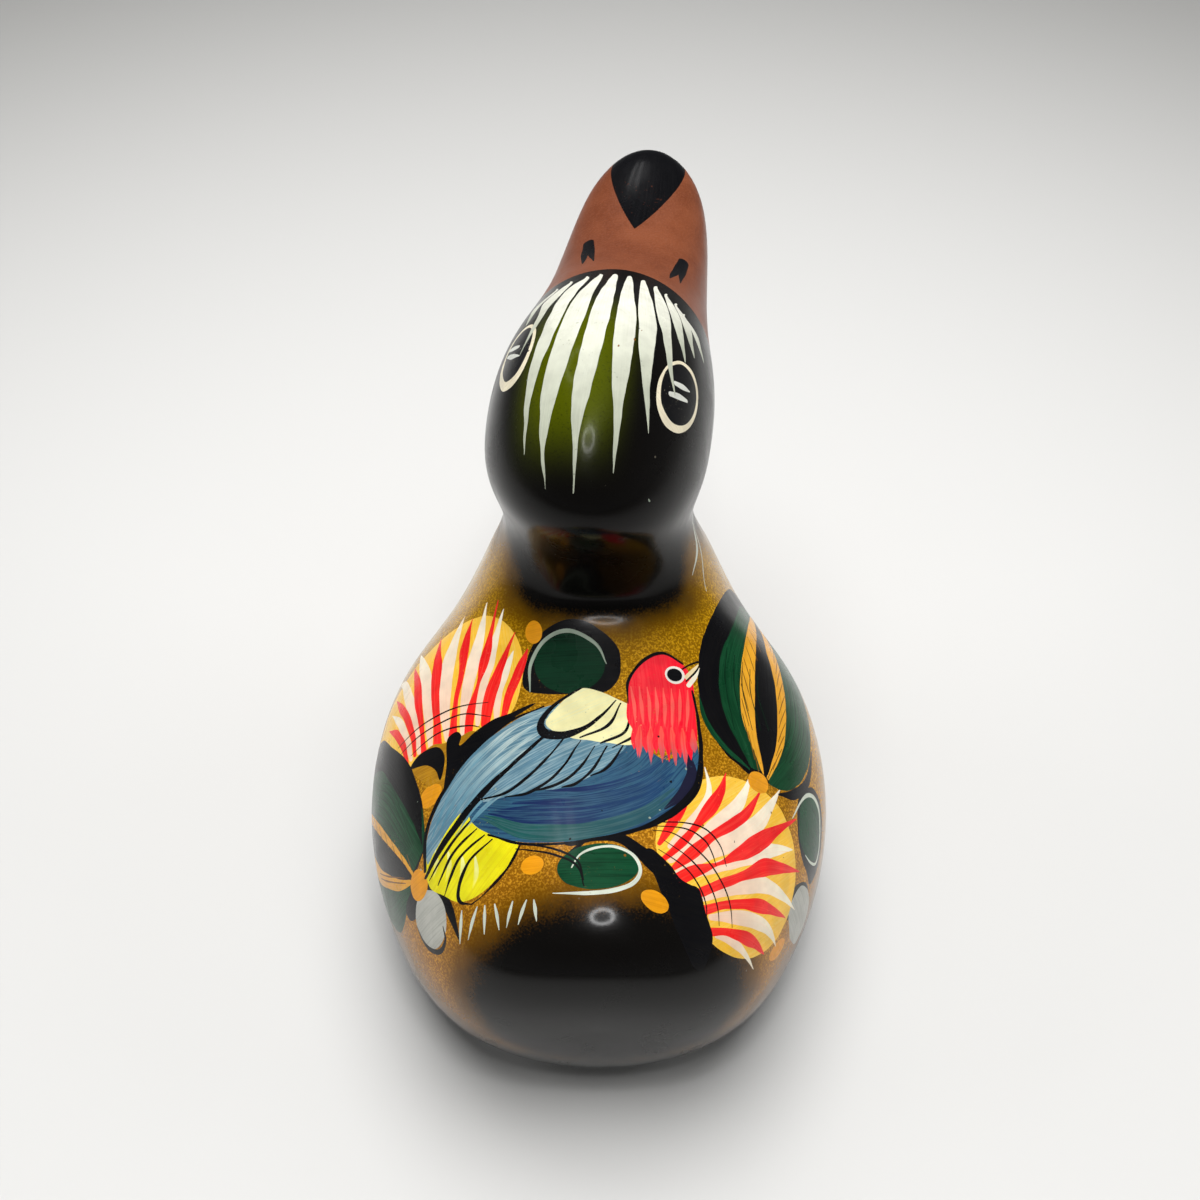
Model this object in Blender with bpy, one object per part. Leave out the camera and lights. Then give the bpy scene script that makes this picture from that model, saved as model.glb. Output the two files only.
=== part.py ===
"""A burnished clay duck, press-moulded in one piece and closed, standing on its flattened belly.

The form is a loft of rings from the tail to the tip of the bill. Each ring hangs between a point on the duck's
upper outline and a point on its lower outline, and has its own width. Metres, +Z up, the duck looks along -Y,
and the origin is on the floor under the middle of its body.
"""

import math

import bmesh
import bpy
import numpy as np

# Driving sizes, in metres
LENGTH = 0.218                # tail to tip of bill
WIDTH = 0.124                 # across the body
HEIGHT = 0.159                # floor to crown
BASE_EASE = 0.004             # how softly the belly runs into its flat
HEAD_TURN = math.radians(9)   # the head looks a little to the duck's right

# Mesh density
RINGS = 76
SIDES = 60

# Stations from tail to bill. Each row is a ring's point on the upper outline (forward, up), its point on the
# lower outline (forward, up) and its half width, in thousandths of the duck's length, height and width. The last
# two are the share of the ring's height where it is widest, and its squareness, which is 2 for an ellipse and
# more for a boxier ring. A smooth curve passes near the stations, so those under the floor make the belly press
# flat against it.
STATIONS = {
    "tail tip": (-385, 265, -385, 265, 0, 0.50, 2.0),
    "tail end": (-395, 375, -380, 175, 160, 0.50, 2.0),
    "tail": (-345, 465, -355, 40, 305, 0.48, 2.0),
    "rump": (-215, 485, -255, -45, 420, 0.46, 2.1),
    "middle": (-85, 540, -120, -65, 505, 0.44, 2.15),
    "shoulders": (0, 585, 55, -65, 500, 0.42, 2.15),
    "breast": (25, 610, 230, -15, 436, 0.42, 2.1),
    "neck base": (25, 645, 350, 190, 306, 0.42, 2.0),
    "neck": (15, 710, 355, 415, 235, 0.46, 2.0),
    "throat": (-15, 780, 315, 545, 185, 0.50, 2.0),
    "back of head": (-30, 875, 315, 595, 235, 0.50, 2.0),
    "crown": (120, 1020, 370, 615, 235, 0.50, 2.0),
    "forehead": (270, 985, 415, 660, 195, 0.48, 2.05),
    "bill base": (385, 925, 445, 730, 175, 0.46, 2.2),
    "bill": (500, 930, 525, 785, 160, 0.46, 2.3),
    "bill end": (585, 970, 595, 835, 130, 0.50, 2.2),
    "bill front": (620, 980, 620, 875, 65, 0.50, 2.0),
    "bill tip": (620, 935, 620, 935, 0, 0.50, 2.0),
}
NECK = 200                    # the upright line that the head turns about, in thousandths of the length
TURN_BEGINS, TURN_ENDS = 0.44, 0.66   # shares of the loft between which the neck takes up that turn


def spline_weights(count, s):
    """Weights of a clamped cubic B-spline with that many stations: a row for each s in 0..1."""
    degree = 3
    inner = np.linspace(0, 1, count - degree + 1)
    knots = np.concatenate([np.zeros(degree), inner, np.ones(degree)])
    s = np.minimum(np.asarray(s, float), 1 - 1e-9)[:, None]
    weights = ((knots[:-1] <= s) & (s < knots[1:])).astype(float)
    for d in range(1, degree + 1):
        span_left = knots[d:-1] - knots[: -d - 1]
        span_right = knots[d + 1 :] - knots[1:-d]
        rise = (s - knots[: -d - 1]) / np.where(span_left > 0, span_left, 1)
        fall = (knots[d + 1 :] - s) / np.where(span_right > 0, span_right, 1)
        weights = rise * weights[:, :-1] + fall * weights[:, 1:]
    return weights


def ring_values(s):
    """Upper outline, lower outline, half width, widest share and squareness at each loft share, in metres."""
    shares = np.array(list(STATIONS.values()), float)
    along, across, up = LENGTH / 1000, WIDTH / 1000, HEIGHT / 1000
    sizes = shares * (along, up, along, up, across, 1, 1)
    return spline_weights(len(sizes), s) @ sizes


def duck_point(s, angle):
    """Points of the duck at loft share s and angle round the ring, 0 on the back and pi on the belly."""
    upper_forward, upper_up, lower_forward, lower_up, half_width, widest, squareness = ring_values(s).T
    power = 2 / squareness
    side = half_width * np.sign(np.sin(angle)) * np.abs(np.sin(angle)) ** power
    rise = np.abs(np.cos(angle)) ** power
    share = np.where(np.cos(angle) > 0, widest + (1 - widest) * rise, widest * (1 - rise))
    forward = lower_forward + (upper_forward - lower_forward) * share
    up = lower_up + (upper_up - lower_up) * share

    turn = np.clip((s - TURN_BEGINS) / (TURN_ENDS - TURN_BEGINS), 0, 1)
    turn = HEAD_TURN * turn * turn * (3 - 2 * turn)
    neck = NECK * LENGTH / 1000
    ahead = forward - neck
    x = side * np.cos(turn) - ahead * np.sin(turn)
    forward = neck + ahead * np.cos(turn) + side * np.sin(turn)

    above = np.clip(up, -BASE_EASE, BASE_EASE) + BASE_EASE
    up = np.maximum(up - BASE_EASE, 0) + above * above / (4 * BASE_EASE)
    return np.stack([x, -forward, up], axis=-1)


def even_shares(count):
    """Loft shares that space that many rings evenly along the duck, its two ends included."""
    fine = np.linspace(0, 1, 2001)
    values = ring_values(fine)
    upper = np.linalg.norm(np.diff(values[:, 0:2], axis=0), axis=1)
    lower = np.linalg.norm(np.diff(values[:, 2:4], axis=0), axis=1)
    length = np.concatenate([[0], np.cumsum(upper + lower)])
    return np.interp(np.linspace(0, length[-1], count), length, fine)


def duck_mesh():
    """The closed skin of the duck: rings joined by quads, with a fan at the tail and at the tip of the bill."""
    angles = np.linspace(-math.pi, math.pi, SIDES, endpoint=False)
    body = bmesh.new()
    rings = []
    for s in even_shares(RINGS):
        ring_angles = angles if 0 < s < 1 else angles[:1]
        points = duck_point(np.full(len(ring_angles), s), ring_angles)
        rings.append([body.verts.new(p) for p in points])
    for lower, upper in zip(rings, rings[1:]):
        for k in range(SIDES):
            j = (k + 1) % SIDES
            if len(lower) == 1:
                body.faces.new((lower[0], upper[j], upper[k]))
            elif len(upper) == 1:
                body.faces.new((lower[k], lower[j], upper[0]))
            else:
                body.faces.new((lower[k], lower[j], upper[j], upper[k]))
    bmesh.ops.recalc_face_normals(body, faces=body.faces)
    mesh = bpy.data.meshes.new("duck_figurine")
    body.to_mesh(mesh)
    body.free()
    mesh.shade_smooth()
    return mesh


def burnished_clay():
    """Dark slip rubbed to a shine, then painted and lacquered."""
    clay = bpy.data.materials.new("burnished_clay")
    clay.use_nodes = True
    finish = clay.node_tree.nodes["Principled BSDF"]
    finish.inputs["Base Color"].default_value = (0.09, 0.055, 0.012, 1)
    finish.inputs["Roughness"].default_value = 0.3
    finish.inputs["Metallic"].default_value = 0.0
    return clay


def main():
    for thing in list(bpy.data.objects):
        bpy.data.objects.remove(thing, do_unlink=True)
    duck = bpy.data.objects.new("duck_figurine", duck_mesh())
    duck.data.materials.append(burnished_clay())
    bpy.context.scene.collection.objects.link(duck)


main()
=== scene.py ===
import math
from collections import namedtuple

import bpy
import numpy as np
from mathutils import Matrix, Vector
from mathutils.geometry import delaunay_2d_cdt


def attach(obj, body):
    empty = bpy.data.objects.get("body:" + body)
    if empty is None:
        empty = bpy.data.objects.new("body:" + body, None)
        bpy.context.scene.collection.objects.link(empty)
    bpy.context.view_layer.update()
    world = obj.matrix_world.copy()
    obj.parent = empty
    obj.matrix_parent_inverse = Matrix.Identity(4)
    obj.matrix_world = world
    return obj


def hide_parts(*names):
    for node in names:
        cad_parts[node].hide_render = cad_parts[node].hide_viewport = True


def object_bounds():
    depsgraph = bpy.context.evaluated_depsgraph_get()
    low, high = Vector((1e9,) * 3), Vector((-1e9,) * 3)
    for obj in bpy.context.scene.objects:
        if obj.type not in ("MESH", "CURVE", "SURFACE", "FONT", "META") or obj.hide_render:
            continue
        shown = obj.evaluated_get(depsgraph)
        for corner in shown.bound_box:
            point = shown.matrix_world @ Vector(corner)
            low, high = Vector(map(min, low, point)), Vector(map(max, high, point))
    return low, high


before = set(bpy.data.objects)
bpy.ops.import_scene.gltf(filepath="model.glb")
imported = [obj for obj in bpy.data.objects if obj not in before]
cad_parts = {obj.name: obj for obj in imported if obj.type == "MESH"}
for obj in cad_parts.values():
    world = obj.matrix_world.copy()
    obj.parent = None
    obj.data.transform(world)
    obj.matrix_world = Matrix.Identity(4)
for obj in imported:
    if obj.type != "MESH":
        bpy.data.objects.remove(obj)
cad_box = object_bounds()

# The duck: body, neck, head and bill
# One hollow piece of clay, pressed in a mould, closed, rubbed smooth while damp and fired. Its form is a
# loft of rings from the tail to the tip of the bill, as in the CAD, and burnishing left it a little wavy.
LENGTH = 0.218                 # tail to tip of bill
WIDTH = 0.124                  # across the body
HEIGHT = 0.159                 # floor to crown
BASE_EASE = 0.004              # how softly the belly runs into its flat
HEAD_TURN = math.radians(9)    # the head looks a little to the duck's right
NECK = 200                     # the upright line that the head turns about, in thousandths of the length
TURN_BEGINS, TURN_ENDS = 0.44, 0.66   # loft shares between which the neck takes up that turn
# Upper outline (forward, up), lower outline (forward, up) and half width in thousandths of the duck's
# length, height and width, then the share of the ring's height where it is widest, and its squareness
STATIONS = {
    "tail tip": (-385, 265, -385, 265, 0, 0.50, 2.0),
    "tail end": (-395, 375, -380, 175, 160, 0.50, 2.0),
    "tail": (-345, 465, -355, 40, 305, 0.48, 2.0),
    "rump": (-215, 485, -255, -45, 420, 0.46, 2.1),
    "middle": (-85, 540, -120, -65, 505, 0.44, 2.15),
    "shoulders": (0, 585, 55, -65, 500, 0.42, 2.15),
    "breast": (25, 610, 230, -15, 436, 0.42, 2.1),
    "neck base": (25, 645, 350, 190, 306, 0.42, 2.0),
    "neck": (15, 710, 355, 415, 235, 0.46, 2.0),
    "throat": (-15, 780, 315, 545, 185, 0.50, 2.0),
    "back of head": (-30, 875, 315, 595, 235, 0.50, 2.0),
    "crown": (120, 1020, 370, 615, 235, 0.50, 2.0),
    "forehead": (270, 985, 415, 660, 195, 0.48, 2.05),
    "bill base": (385, 925, 445, 730, 175, 0.46, 2.2),
    "bill": (500, 930, 525, 785, 160, 0.46, 2.3),
    "bill end": (585, 970, 595, 835, 130, 0.50, 2.2),
    "bill front": (620, 980, 620, 875, 65, 0.50, 2.0),
    "bill tip": (620, 935, 620, 935, 0, 0.50, 2.0),
}
MM = 0.001
WAVES = 14                     # slow waves that make up the burnished skin's unevenness
WAVE_SPAN = (0.013, 0.040)     # their lengths
WAVE_DEPTH = 0.00011           # how deep the skin dips in all
WAVE_SEED = 11
SHARE_STEP, ANGLE_STEP = 4e-4, 4e-3   # how far to each side of a point its slope is read


def spline_weights(count, s):
    """Weights of a clamped cubic B-spline with that many stations: a row for each s in 0..1."""
    degree = 3
    inner = np.linspace(0, 1, count - degree + 1)
    knots = np.concatenate([np.zeros(degree), inner, np.ones(degree)])
    s = np.minimum(np.asarray(s, float), 1 - 1e-9)[:, None]
    weights = ((knots[:-1] <= s) & (s < knots[1:])).astype(float)
    for d in range(1, degree + 1):
        span_left = knots[d:-1] - knots[: -d - 1]
        span_right = knots[d + 1 :] - knots[1:-d]
        rise = (s - knots[: -d - 1]) / np.where(span_left > 0, span_left, 1)
        fall = (knots[d + 1 :] - s) / np.where(span_right > 0, span_right, 1)
        weights = rise * weights[:, :-1] + fall * weights[:, 1:]
    return weights


def ring_values(s):
    """Both outlines, half width, widest share and squareness at each loft share, in metres."""
    shares = np.array(list(STATIONS.values()), float)
    along, across, up = LENGTH / 1000, WIDTH / 1000, HEIGHT / 1000
    return spline_weights(len(shares), s) @ (shares * (along, up, along, up, across, 1, 1))


def duck_point(s, angle):
    """Points of the duck at loft share s and angle round the ring, 0 on the back and pi on the belly."""
    upper_forward, upper_up, lower_forward, lower_up, half_width, widest, squareness = ring_values(s).T
    power = 2 / squareness
    side = half_width * np.sign(np.sin(angle)) * np.abs(np.sin(angle)) ** power
    rise = np.abs(np.cos(angle)) ** power
    share = np.where(np.cos(angle) > 0, widest + (1 - widest) * rise, widest * (1 - rise))
    forward = lower_forward + (upper_forward - lower_forward) * share
    up = lower_up + (upper_up - lower_up) * share

    turn = np.clip((s - TURN_BEGINS) / (TURN_ENDS - TURN_BEGINS), 0, 1)
    turn = HEAD_TURN * turn * turn * (3 - 2 * turn)
    neck = NECK * LENGTH / 1000
    ahead = forward - neck
    x = side * np.cos(turn) - ahead * np.sin(turn)
    forward = neck + ahead * np.cos(turn) + side * np.sin(turn)

    above = np.clip(up, -BASE_EASE, BASE_EASE) + BASE_EASE
    up = np.maximum(up - BASE_EASE, 0) + above * above / (4 * BASE_EASE)
    return np.stack([x, -forward, up], axis=-1)


def unit(vectors):
    return vectors / np.maximum(np.linalg.norm(vectors, axis=-1, keepdims=True), 1e-12)


wave_dice = np.random.default_rng(WAVE_SEED)
wave_turns = unit(wave_dice.normal(size=(WAVES, 3)))
wave_turns *= (2 * math.pi / wave_dice.uniform(*WAVE_SPAN, WAVES))[:, None]
wave_starts = wave_dice.uniform(0, 2 * math.pi, WAVES)


def skin(s, angle):
    """Points and outward normals of the burnished skin, which dips a little under the plain form."""
    s, angle = np.asarray(s, float), np.asarray(angle, float)
    along = duck_point(np.minimum(s + SHARE_STEP, 1), angle)
    along = along - duck_point(np.maximum(s - SHARE_STEP, 0), angle)
    around = duck_point(s, angle + ANGLE_STEP) - duck_point(s, angle - ANGLE_STEP)
    outward = unit(np.cross(along, around))
    points = duck_point(s, angle)
    phases = points @ wave_turns.T + wave_starts
    dip = WAVE_DEPTH * (0.5 + 0.5 * np.sin(phases).mean(axis=1))
    slope = 0.5 * WAVE_DEPTH * (np.cos(phases) @ wave_turns) / WAVES
    slope -= outward * (slope * outward).sum(axis=1, keepdims=True)
    off_floor = np.clip(points[:, 2:] / BASE_EASE, 0, 1)
    return points - outward * dip[:, None] * off_floor, unit(outward + slope * off_floor)


# The chart that the painter works on
# The skin laid flat in millimetres, along the duck and round it, so that every brush stroke is cut into
# the skin's own faces. Paint is only colour here, with no thickness, as a brush coat of a few hundredths
# of a millimetre is.
ROUND = 40.0                   # chart millimetres for each radian round a ring
ROWS, COLUMNS = 200, 170       # rings and sides of the bare skin
FINE_POINTS = 4001             # points between which the run along the duck is measured
SEAM = math.pi * ROUND

fine_shares = np.linspace(0, 1, FINE_POINTS)
fine_values = ring_values(fine_shares)
outline_steps = np.linalg.norm(np.diff(fine_values[:, 0:2], axis=0), axis=1)
outline_steps += np.linalg.norm(np.diff(fine_values[:, 2:4], axis=0), axis=1)
run_of_shares = np.concatenate([[0], np.cumsum(outline_steps)]) / (2 * MM)
RUN = run_of_shares[-1]


def share_at(run):
    return np.interp(run, run_of_shares, fine_shares)


def run_at(share):
    return np.interp(share, fine_shares, run_of_shares)


rows = np.linspace(0, RUN, ROWS)
columns = np.linspace(-SEAM, SEAM, COLUMNS)
grid_run, grid_round = np.meshgrid(rows, columns, indexing="ij")
grid_places = np.stack([grid_run.ravel(), grid_round.ravel()], axis=1)


# How the brush works
# A stroke is drawn in millimetres on a flat card held against the duck at one spot, x to the right and y
# ahead as the duck looks, and then laid on the skin straight down. Its edges tremble as a hand's do.
PACE = 0.7                     # millimetres between points along a stroke
DROP = 12.0                    # millimetres above the spot that the card is held at
FINEST = 0.14                  # millimetres, the width of the finest line
EDGE_SHAKE = 0.12              # millimetres that the edge of a filled area trembles by
HAND_SEED = 5
Spot = namedtuple("Spot", "middle right ahead outward")
Paint = namedtuple("Paint", "colour tip streak streaks dry")
Stroke = namedtuple("Stroke", "at outline flow paint")
strokes = []
hand = np.random.default_rng(HAND_SEED)


def spot(share, angle, turn=0):
    """A place on the skin, with its own right, ahead and outward directions."""
    middle, outward = (value[0] for value in skin([share], [angle]))
    ahead = unit(np.array([0, -1.0, 0]) + outward * outward[1])
    right = np.cross(ahead, outward)
    t = math.radians(turn)
    turned_right = right * math.cos(t) + ahead * math.sin(t)
    return Spot(middle, turned_right, ahead * math.cos(t) - right * math.sin(t), outward)


def mix(colour, tip=None, streak=None, streaks=0.35, dry=0.0):
    """A paint: its colour, the colour at the stroke's end, its streaks, and how dry it ends."""
    return Paint(colour, tip or colour, streak or colour, streaks, dry)


def smooth_run(points, closed=False):
    """A smooth line through the points, one about every PACE. Further numbers are carried along."""
    p = np.array(points, float)
    if closed:
        p = np.vstack([p[-1:], p, p[:2]])
    else:
        p = np.vstack([2 * p[0] - p[1], p, 2 * p[-1] - p[-2]])
    line = []
    for a, b, c, d in zip(p, p[1:], p[2:], p[3:]):
        count = max(2, math.ceil(np.linalg.norm(c[:2] - b[:2]) / PACE))
        t = np.arange(count)[:, None] / count
        line.append(b + 0.5 * t * (c - a + t * (2 * a - 5 * b + 4 * c - d + t * (3 * (b - c) + d - a))))
    if not closed:
        line.append(p[-2:-1])
    return np.vstack(line)


def tremble(count, size):
    """A hand's tremble along a line: slow seeded waves."""
    waves = hand.uniform(0.3, 1.1, 3)
    starts = hand.uniform(0, 2 * math.pi, 3)
    return size * np.sin(np.arange(count)[:, None] * PACE * waves + starts).mean(axis=1)


def ribbon(at, points, paint, shake=0.10):
    """One pull of a brush through points (x, y, width)."""
    line = smooth_run(points)
    way, half = line[:, :2], np.maximum(line[:, 2], FINEST) / 2
    ahead = unit(np.gradient(way, axis=0))
    side = np.stack([-ahead[:, 1], ahead[:, 0]], axis=1)
    left = way + side * (half + np.clip(tremble(len(way), shake), -half / 2, half / 2))[:, None]
    right = way - side * (half + np.clip(tremble(len(way), shake), -half / 2, half / 2))[:, None]
    round_end = np.linspace(math.pi / 2, -math.pi / 2, 7)[1:-1, None]
    end = way[-1] + half[-1] * (np.cos(round_end) * ahead[-1] + np.sin(round_end) * side[-1])
    start = way[0] - half[0] * (np.cos(round_end) * ahead[0] + np.sin(round_end) * side[0])
    strokes.append(Stroke(at, np.vstack([left, end, right[::-1], start]), way, paint))


def patch(at, points, paint, flow=None):
    """An area with a smooth closed outline, filled in along the line flow."""
    outline = smooth_run(points, closed=True)
    ahead = unit(np.roll(outline, -1, axis=0) - np.roll(outline, 1, axis=0))
    side = np.stack([-ahead[:, 1], ahead[:, 0]], axis=1)
    tapered = tremble(len(outline), EDGE_SHAKE) * np.sin(np.linspace(0, math.pi, len(outline))) ** 0.5
    if flow is None:
        flow = [(outline[:, 0].min(), outline[:, 1].mean()), (outline[:, 0].max(), outline[:, 1].mean())]
    strokes.append(Stroke(at, outline + side * tapered[:, None], smooth_run(flow), paint))


def oval(at, x, y, wide, high, paint, turn=0):
    """A round or oval dab, wide and high before it is turned."""
    t = math.radians(turn)
    round_it = np.linspace(0, 2 * math.pi, 12, endpoint=False)
    u, v = wide / 2 * np.cos(round_it), high / 2 * np.sin(round_it)
    patch(at, np.stack([x + u * math.cos(t) - v * math.sin(t), y + u * math.sin(t) + v * math.cos(t)],
                       axis=1), paint)


# Terracotta bill and its black nail
# The bill is left in the clay's own red, rubbed smooth, and its nail and nostrils are black brush work.
BILL_EDGE, BILL_DRAWBACK = 0.778, 0.10   # where the bill's red begins on top, how far it runs back below
NAIL_TIP, NAIL_FRONT = 0.845, 0.985      # loft shares of the nail's point and of its lowest edge
NAIL_REACH = 1.25                        # radians from the nail's middle to its corners
NAIL_SWELL = 0.95                        # 1 for straight sides, more for fuller ones
NAIL_END = 0.9995                        # loft share at the tip, under which the bill is red again
DRAWBACK_POWER, DRAWBACK_LEVEL = 1.6, 0.64   # how the red's edge curves down the sides and then runs level
BLACK = (0.004, 0.004, 0.005)
Band = namedtuple("Band", "shares angles paint")
bands = []
band_angles = np.linspace(-math.pi, math.pi, 121)
drawback = np.minimum(np.abs(np.sin(band_angles / 2)) ** DRAWBACK_POWER, DRAWBACK_LEVEL)
edge_shares = BILL_EDGE - BILL_DRAWBACK * drawback
terracotta = mix((0.235, 0.066, 0.026), streak=(0.30, 0.095, 0.04), streaks=0.5)
bands.append(Band(edge_shares, band_angles, terracotta))
nail_side = np.clip(np.abs(band_angles) / NAIL_REACH, 0, 1)
nail_shares = NAIL_TIP + (NAIL_FRONT - NAIL_TIP) * nail_side ** NAIL_SWELL
nail_shares = np.where(nail_side < 1, nail_shares, NAIL_END)
nail_black = mix(BLACK, streak=(0.012, 0.012, 0.013), streaks=0.4)
bands.append(Band(nail_shares, band_angles, nail_black))

bill = spot(0.8433, -0.097, -9)
for x, y, lean in ((-14.4, -10.5, 2.0), (12.2, -13.5, -0.8)):
    bend = 0.6 * lean
    ribbon(bill, [(x - 1.4 + lean, y - 7.4, 0.3), (x - 0.9 + bend, y - 3, 1.8), (x - 0.1, y + 5.2, 2.4)],
           nail_black)
    ribbon(bill, [(x + 1.4 + lean, y - 6.8, 0.3), (x + 0.9 + bend, y - 2, 1.7), (x + 0.3, y + 5.4, 2.6)],
           nail_black)


# Eyes
# Black ovals ringed with one cream line, thicker below, and two quick white glints in each.
eye_black = mix(BLACK, streak=(0.008, 0.008, 0.009))
eye_cream = mix((0.84, 0.76, 0.56), streak=(0.66, 0.58, 0.38), streaks=0.4)
glint_white = mix((0.72, 0.73, 0.66), streak=(0.5, 0.52, 0.46), streaks=0.3)
right_eye = spot(0.6534, -0.861, -9)
left_eye = spot(0.6677, 0.727, -9)
for eye, ring, pupil, glints in (
    (right_eye, (-0.6, 0.8, 15.4, 21.6), (-0.8, 1.3, 13.5, 18.0),
     (((-3.8, 1.9, 1.2), (-1.0, 3.7, 1.5), (1.3, 5.1, 0.4)),
      ((-3.6, -2.1, 1.3), (-1.0, 0.0, 1.6), (1.8, 1.9, 0.9)))),
    (left_eye, (-2.3, 2.8, 14.2, 22.0), (-2.1, 3.5, 11.5, 17.9),
     (((-6.8, 8.5, 0.9), (-4.0, 6.8, 1.5), (-1.4, 5.3, 0.9)),
      ((-6.6, 5.8, 0.8), (-3.5, 3.3, 1.6), (0.0, 0.9, 0.3)))),
):
    oval(eye, *ring, eye_cream)
    oval(eye, *pupil, eye_black)
    for glint in glints:
        ribbon(eye, glint, glint_white, 0.05)


# White head feathers
# Long white brush strokes that fan back over the crown from the edge of the bill and run out dry.
head = spot(0.6601, -0.144, -9)
feather_white = mix((0.84, 0.83, 0.72), tip=(0.46, 0.49, 0.38), streak=(0.64, 0.65, 0.53),
                    streaks=0.45, dry=0.30)
FEATHERS = (
    ((-17.4, 35.5, 0.9), (-20.8, 30, 1.8), (-21.6, 25, 1.2), (-22.2, 20.5, 0.15)),
    ((-14.4, 38, 1.2), (-17.7, 30, 3.6), (-18.6, 25, 2.4), (-19.2, 20, 1.5), (-21.2, 7.5, 0.15)),
    ((-10.6, 40, 1.4), (-12.8, 34, 3.4), (-14.4, 26, 3.9), (-15.9, 10, 3.3), (-16.5, 0, 2.4),
     (-15.8, -10, 1.2), (-13.7, -20.7, 0.15)),
    ((-7.4, 41.4, 1.6), (-9.5, 30, 4.1), (-10.4, 20, 5.1), (-11.3, 5, 5.0), (-11.5, -4, 4.4),
     (-11.2, -10, 3.4), (-9.8, -20, 1.1), (-6.8, -28.4, 0.15)),
    ((-3.7, 42.0, 1.8), (-4.4, 30, 4.3), (-4.6, 20, 5.0), (-4.5, 0, 4.9), (-4, -10, 3.6), (-3, -17, 1.6),
     (-0.2, -29, 0.15)),
    ((0.1, 42.0, 1.8), (0.8, 30, 4.1), (1.8, 20, 5.3), (2.6, 10, 5.3), (3.7, 0, 4.2), (5.0, -8, 2.4),
     (7.6, -22.7, 0.15)),
    ((3.9, 41.2, 1.6), (5.6, 30, 4.4), (7.3, 20, 5.0), (8.5, 10, 4.0), (10.5, 0, 1.9), (13.5, -10.2, 0.15)),
    ((7.4, 40.0, 1.4), (9.6, 32, 3.9), (11.2, 25, 4.0), (12.5, 20, 2.7), (15, 10, 1.4), (17.7, 3.5, 0.2)),
    ((10.4, 38.2, 1.2), (13.4, 31.5, 3.4), (15.4, 25, 2.7), (17, 20, 1.4), (18.5, 15.5, 0.15)),
    ((13.4, 36, 1.0), (16.6, 31.5, 3.0), (18.8, 25, 1.9), (20.7, 20.2, 0.15)),
    ((16.0, 33.5, 0.9), (19.6, 30.5, 2.2), (21.6, 27, 1.5), (23.6, 23.3, 0.15)),
)
ROOT_RUN, ROOT_WIDTH = 1.6, 0.4   # how far a feather's root runs on, and its share of the width there
ROOT_PART = 20                 # the feathers are slimmer ahead of here
ROOT_SLIM, TIP_SLIM = 0.87, 0.94   # shares of their listed widths ahead of it and behind it
for feather in FEATHERS:
    root_x, root_y, root_width = feather[0]
    feather = ((root_x, root_y + ROOT_RUN, ROOT_WIDTH * root_width), *feather)
    slimmed = [(x, y, width * (ROOT_SLIM if y > ROOT_PART else TIP_SLIM)) for x, y, width in feather]
    ribbon(head, slimmed, feather_white)


# Shaded discs
# Green and grey pebbles of paint that fill gaps, most with a black crescent behind and a fine pale rim.
disc_green = mix((0.003, 0.058, 0.021), streak=(0.001, 0.020, 0.008), streaks=0.7)
disc_grey = mix((0.46, 0.46, 0.41), streak=(0.30, 0.30, 0.26), streaks=0.6)
shade_black = mix(BLACK, streak=(0.009, 0.008, 0.007), streaks=0.4)
rim_white = mix((0.62, 0.66, 0.55), streak=(0.36, 0.42, 0.33), streaks=0.5, dry=0.3)
rim_grey = mix((0.30, 0.36, 0.28), streak=(0.20, 0.26, 0.20), dry=0.3)

back = spot(0.1535, 0.079)
right_flank = spot(0.1198, -0.712)
left_flank = spot(0.1542, 1.026)
right_side = spot(0.165, -1.30)
disc_dark = mix((0.002, 0.030, 0.012), streak=(0.001, 0.012, 0.005), streaks=0.7)
patch(back, [(-13, 25), (-12.9, 33), (-9, 40), (-2, 43), (4.5, 41), (10, 35.5), (10.6, 28.5), (7, 23.6),
             (-2, 23)], shade_black)
oval(back, -2.0, 31.4, 17.8, 16.2, disc_dark, -6)
ribbon(back, [(-12.0, 24.5, 0.3), (-11.8, 32, 0.9), (-8, 38.2, 1.0), (-2, 40, 1.1), (4.6, 36.4, 0.8),
              (7.2, 31, 0.2)], rim_grey, 0.05)
patch(back, [(-3, -15.4), (5, -13.2), (10, -13.8), (15, -16.8), (19, -20.3), (23, -24), (25.5, -28.4),
             (22.5, -28.6), (18.6, -24.6), (15.4, -21.8), (10, -16.6), (4, -15.9), (-2, -17)], shade_black)
for line in (((21, -23, 1.5), (25, -28, 2.8), (28.6, -32, 2.4), (31.4, -35.4, 1.5), (33.4, -38.6, 0.3)),
             ((2.0, -15.4, 0.5), (-2.5, -19.6, 1.5), (-3.6, -23.3, 2.0), (-1.8, -25.9, 1.7),
              (3.5, -26.6, 0.5))):
    ribbon(back, line, shade_black)
oval(back, 4.6, -22.2, 19.4, 11.4, disc_green, 4)
ribbon(back, [(-1.6, -22.4, 0.3), (0.4, -19.2, 0.5), (4, -17.6, 0.6), (8.4, -17.3, 0.7), (12.6, -19.2, 0.8),
              (14.4, -23, 0.8), (12.5, -26.4, 1.0), (8, -28.2, 1.1), (2, -28.8, 0.9), (-6, -28.4, 0.2)],
       rim_white, 0.05)
patch(right_side, [(-14.5, 8), (-12.5, 13), (-8, 16.2), (-2, 15.5), (2.5, 11.5), (6, 5.5), (6.4, 0),
                   (4, -5), (-1, -4.6), (-6, -3.6), (-11, 0.4)], shade_black)
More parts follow.
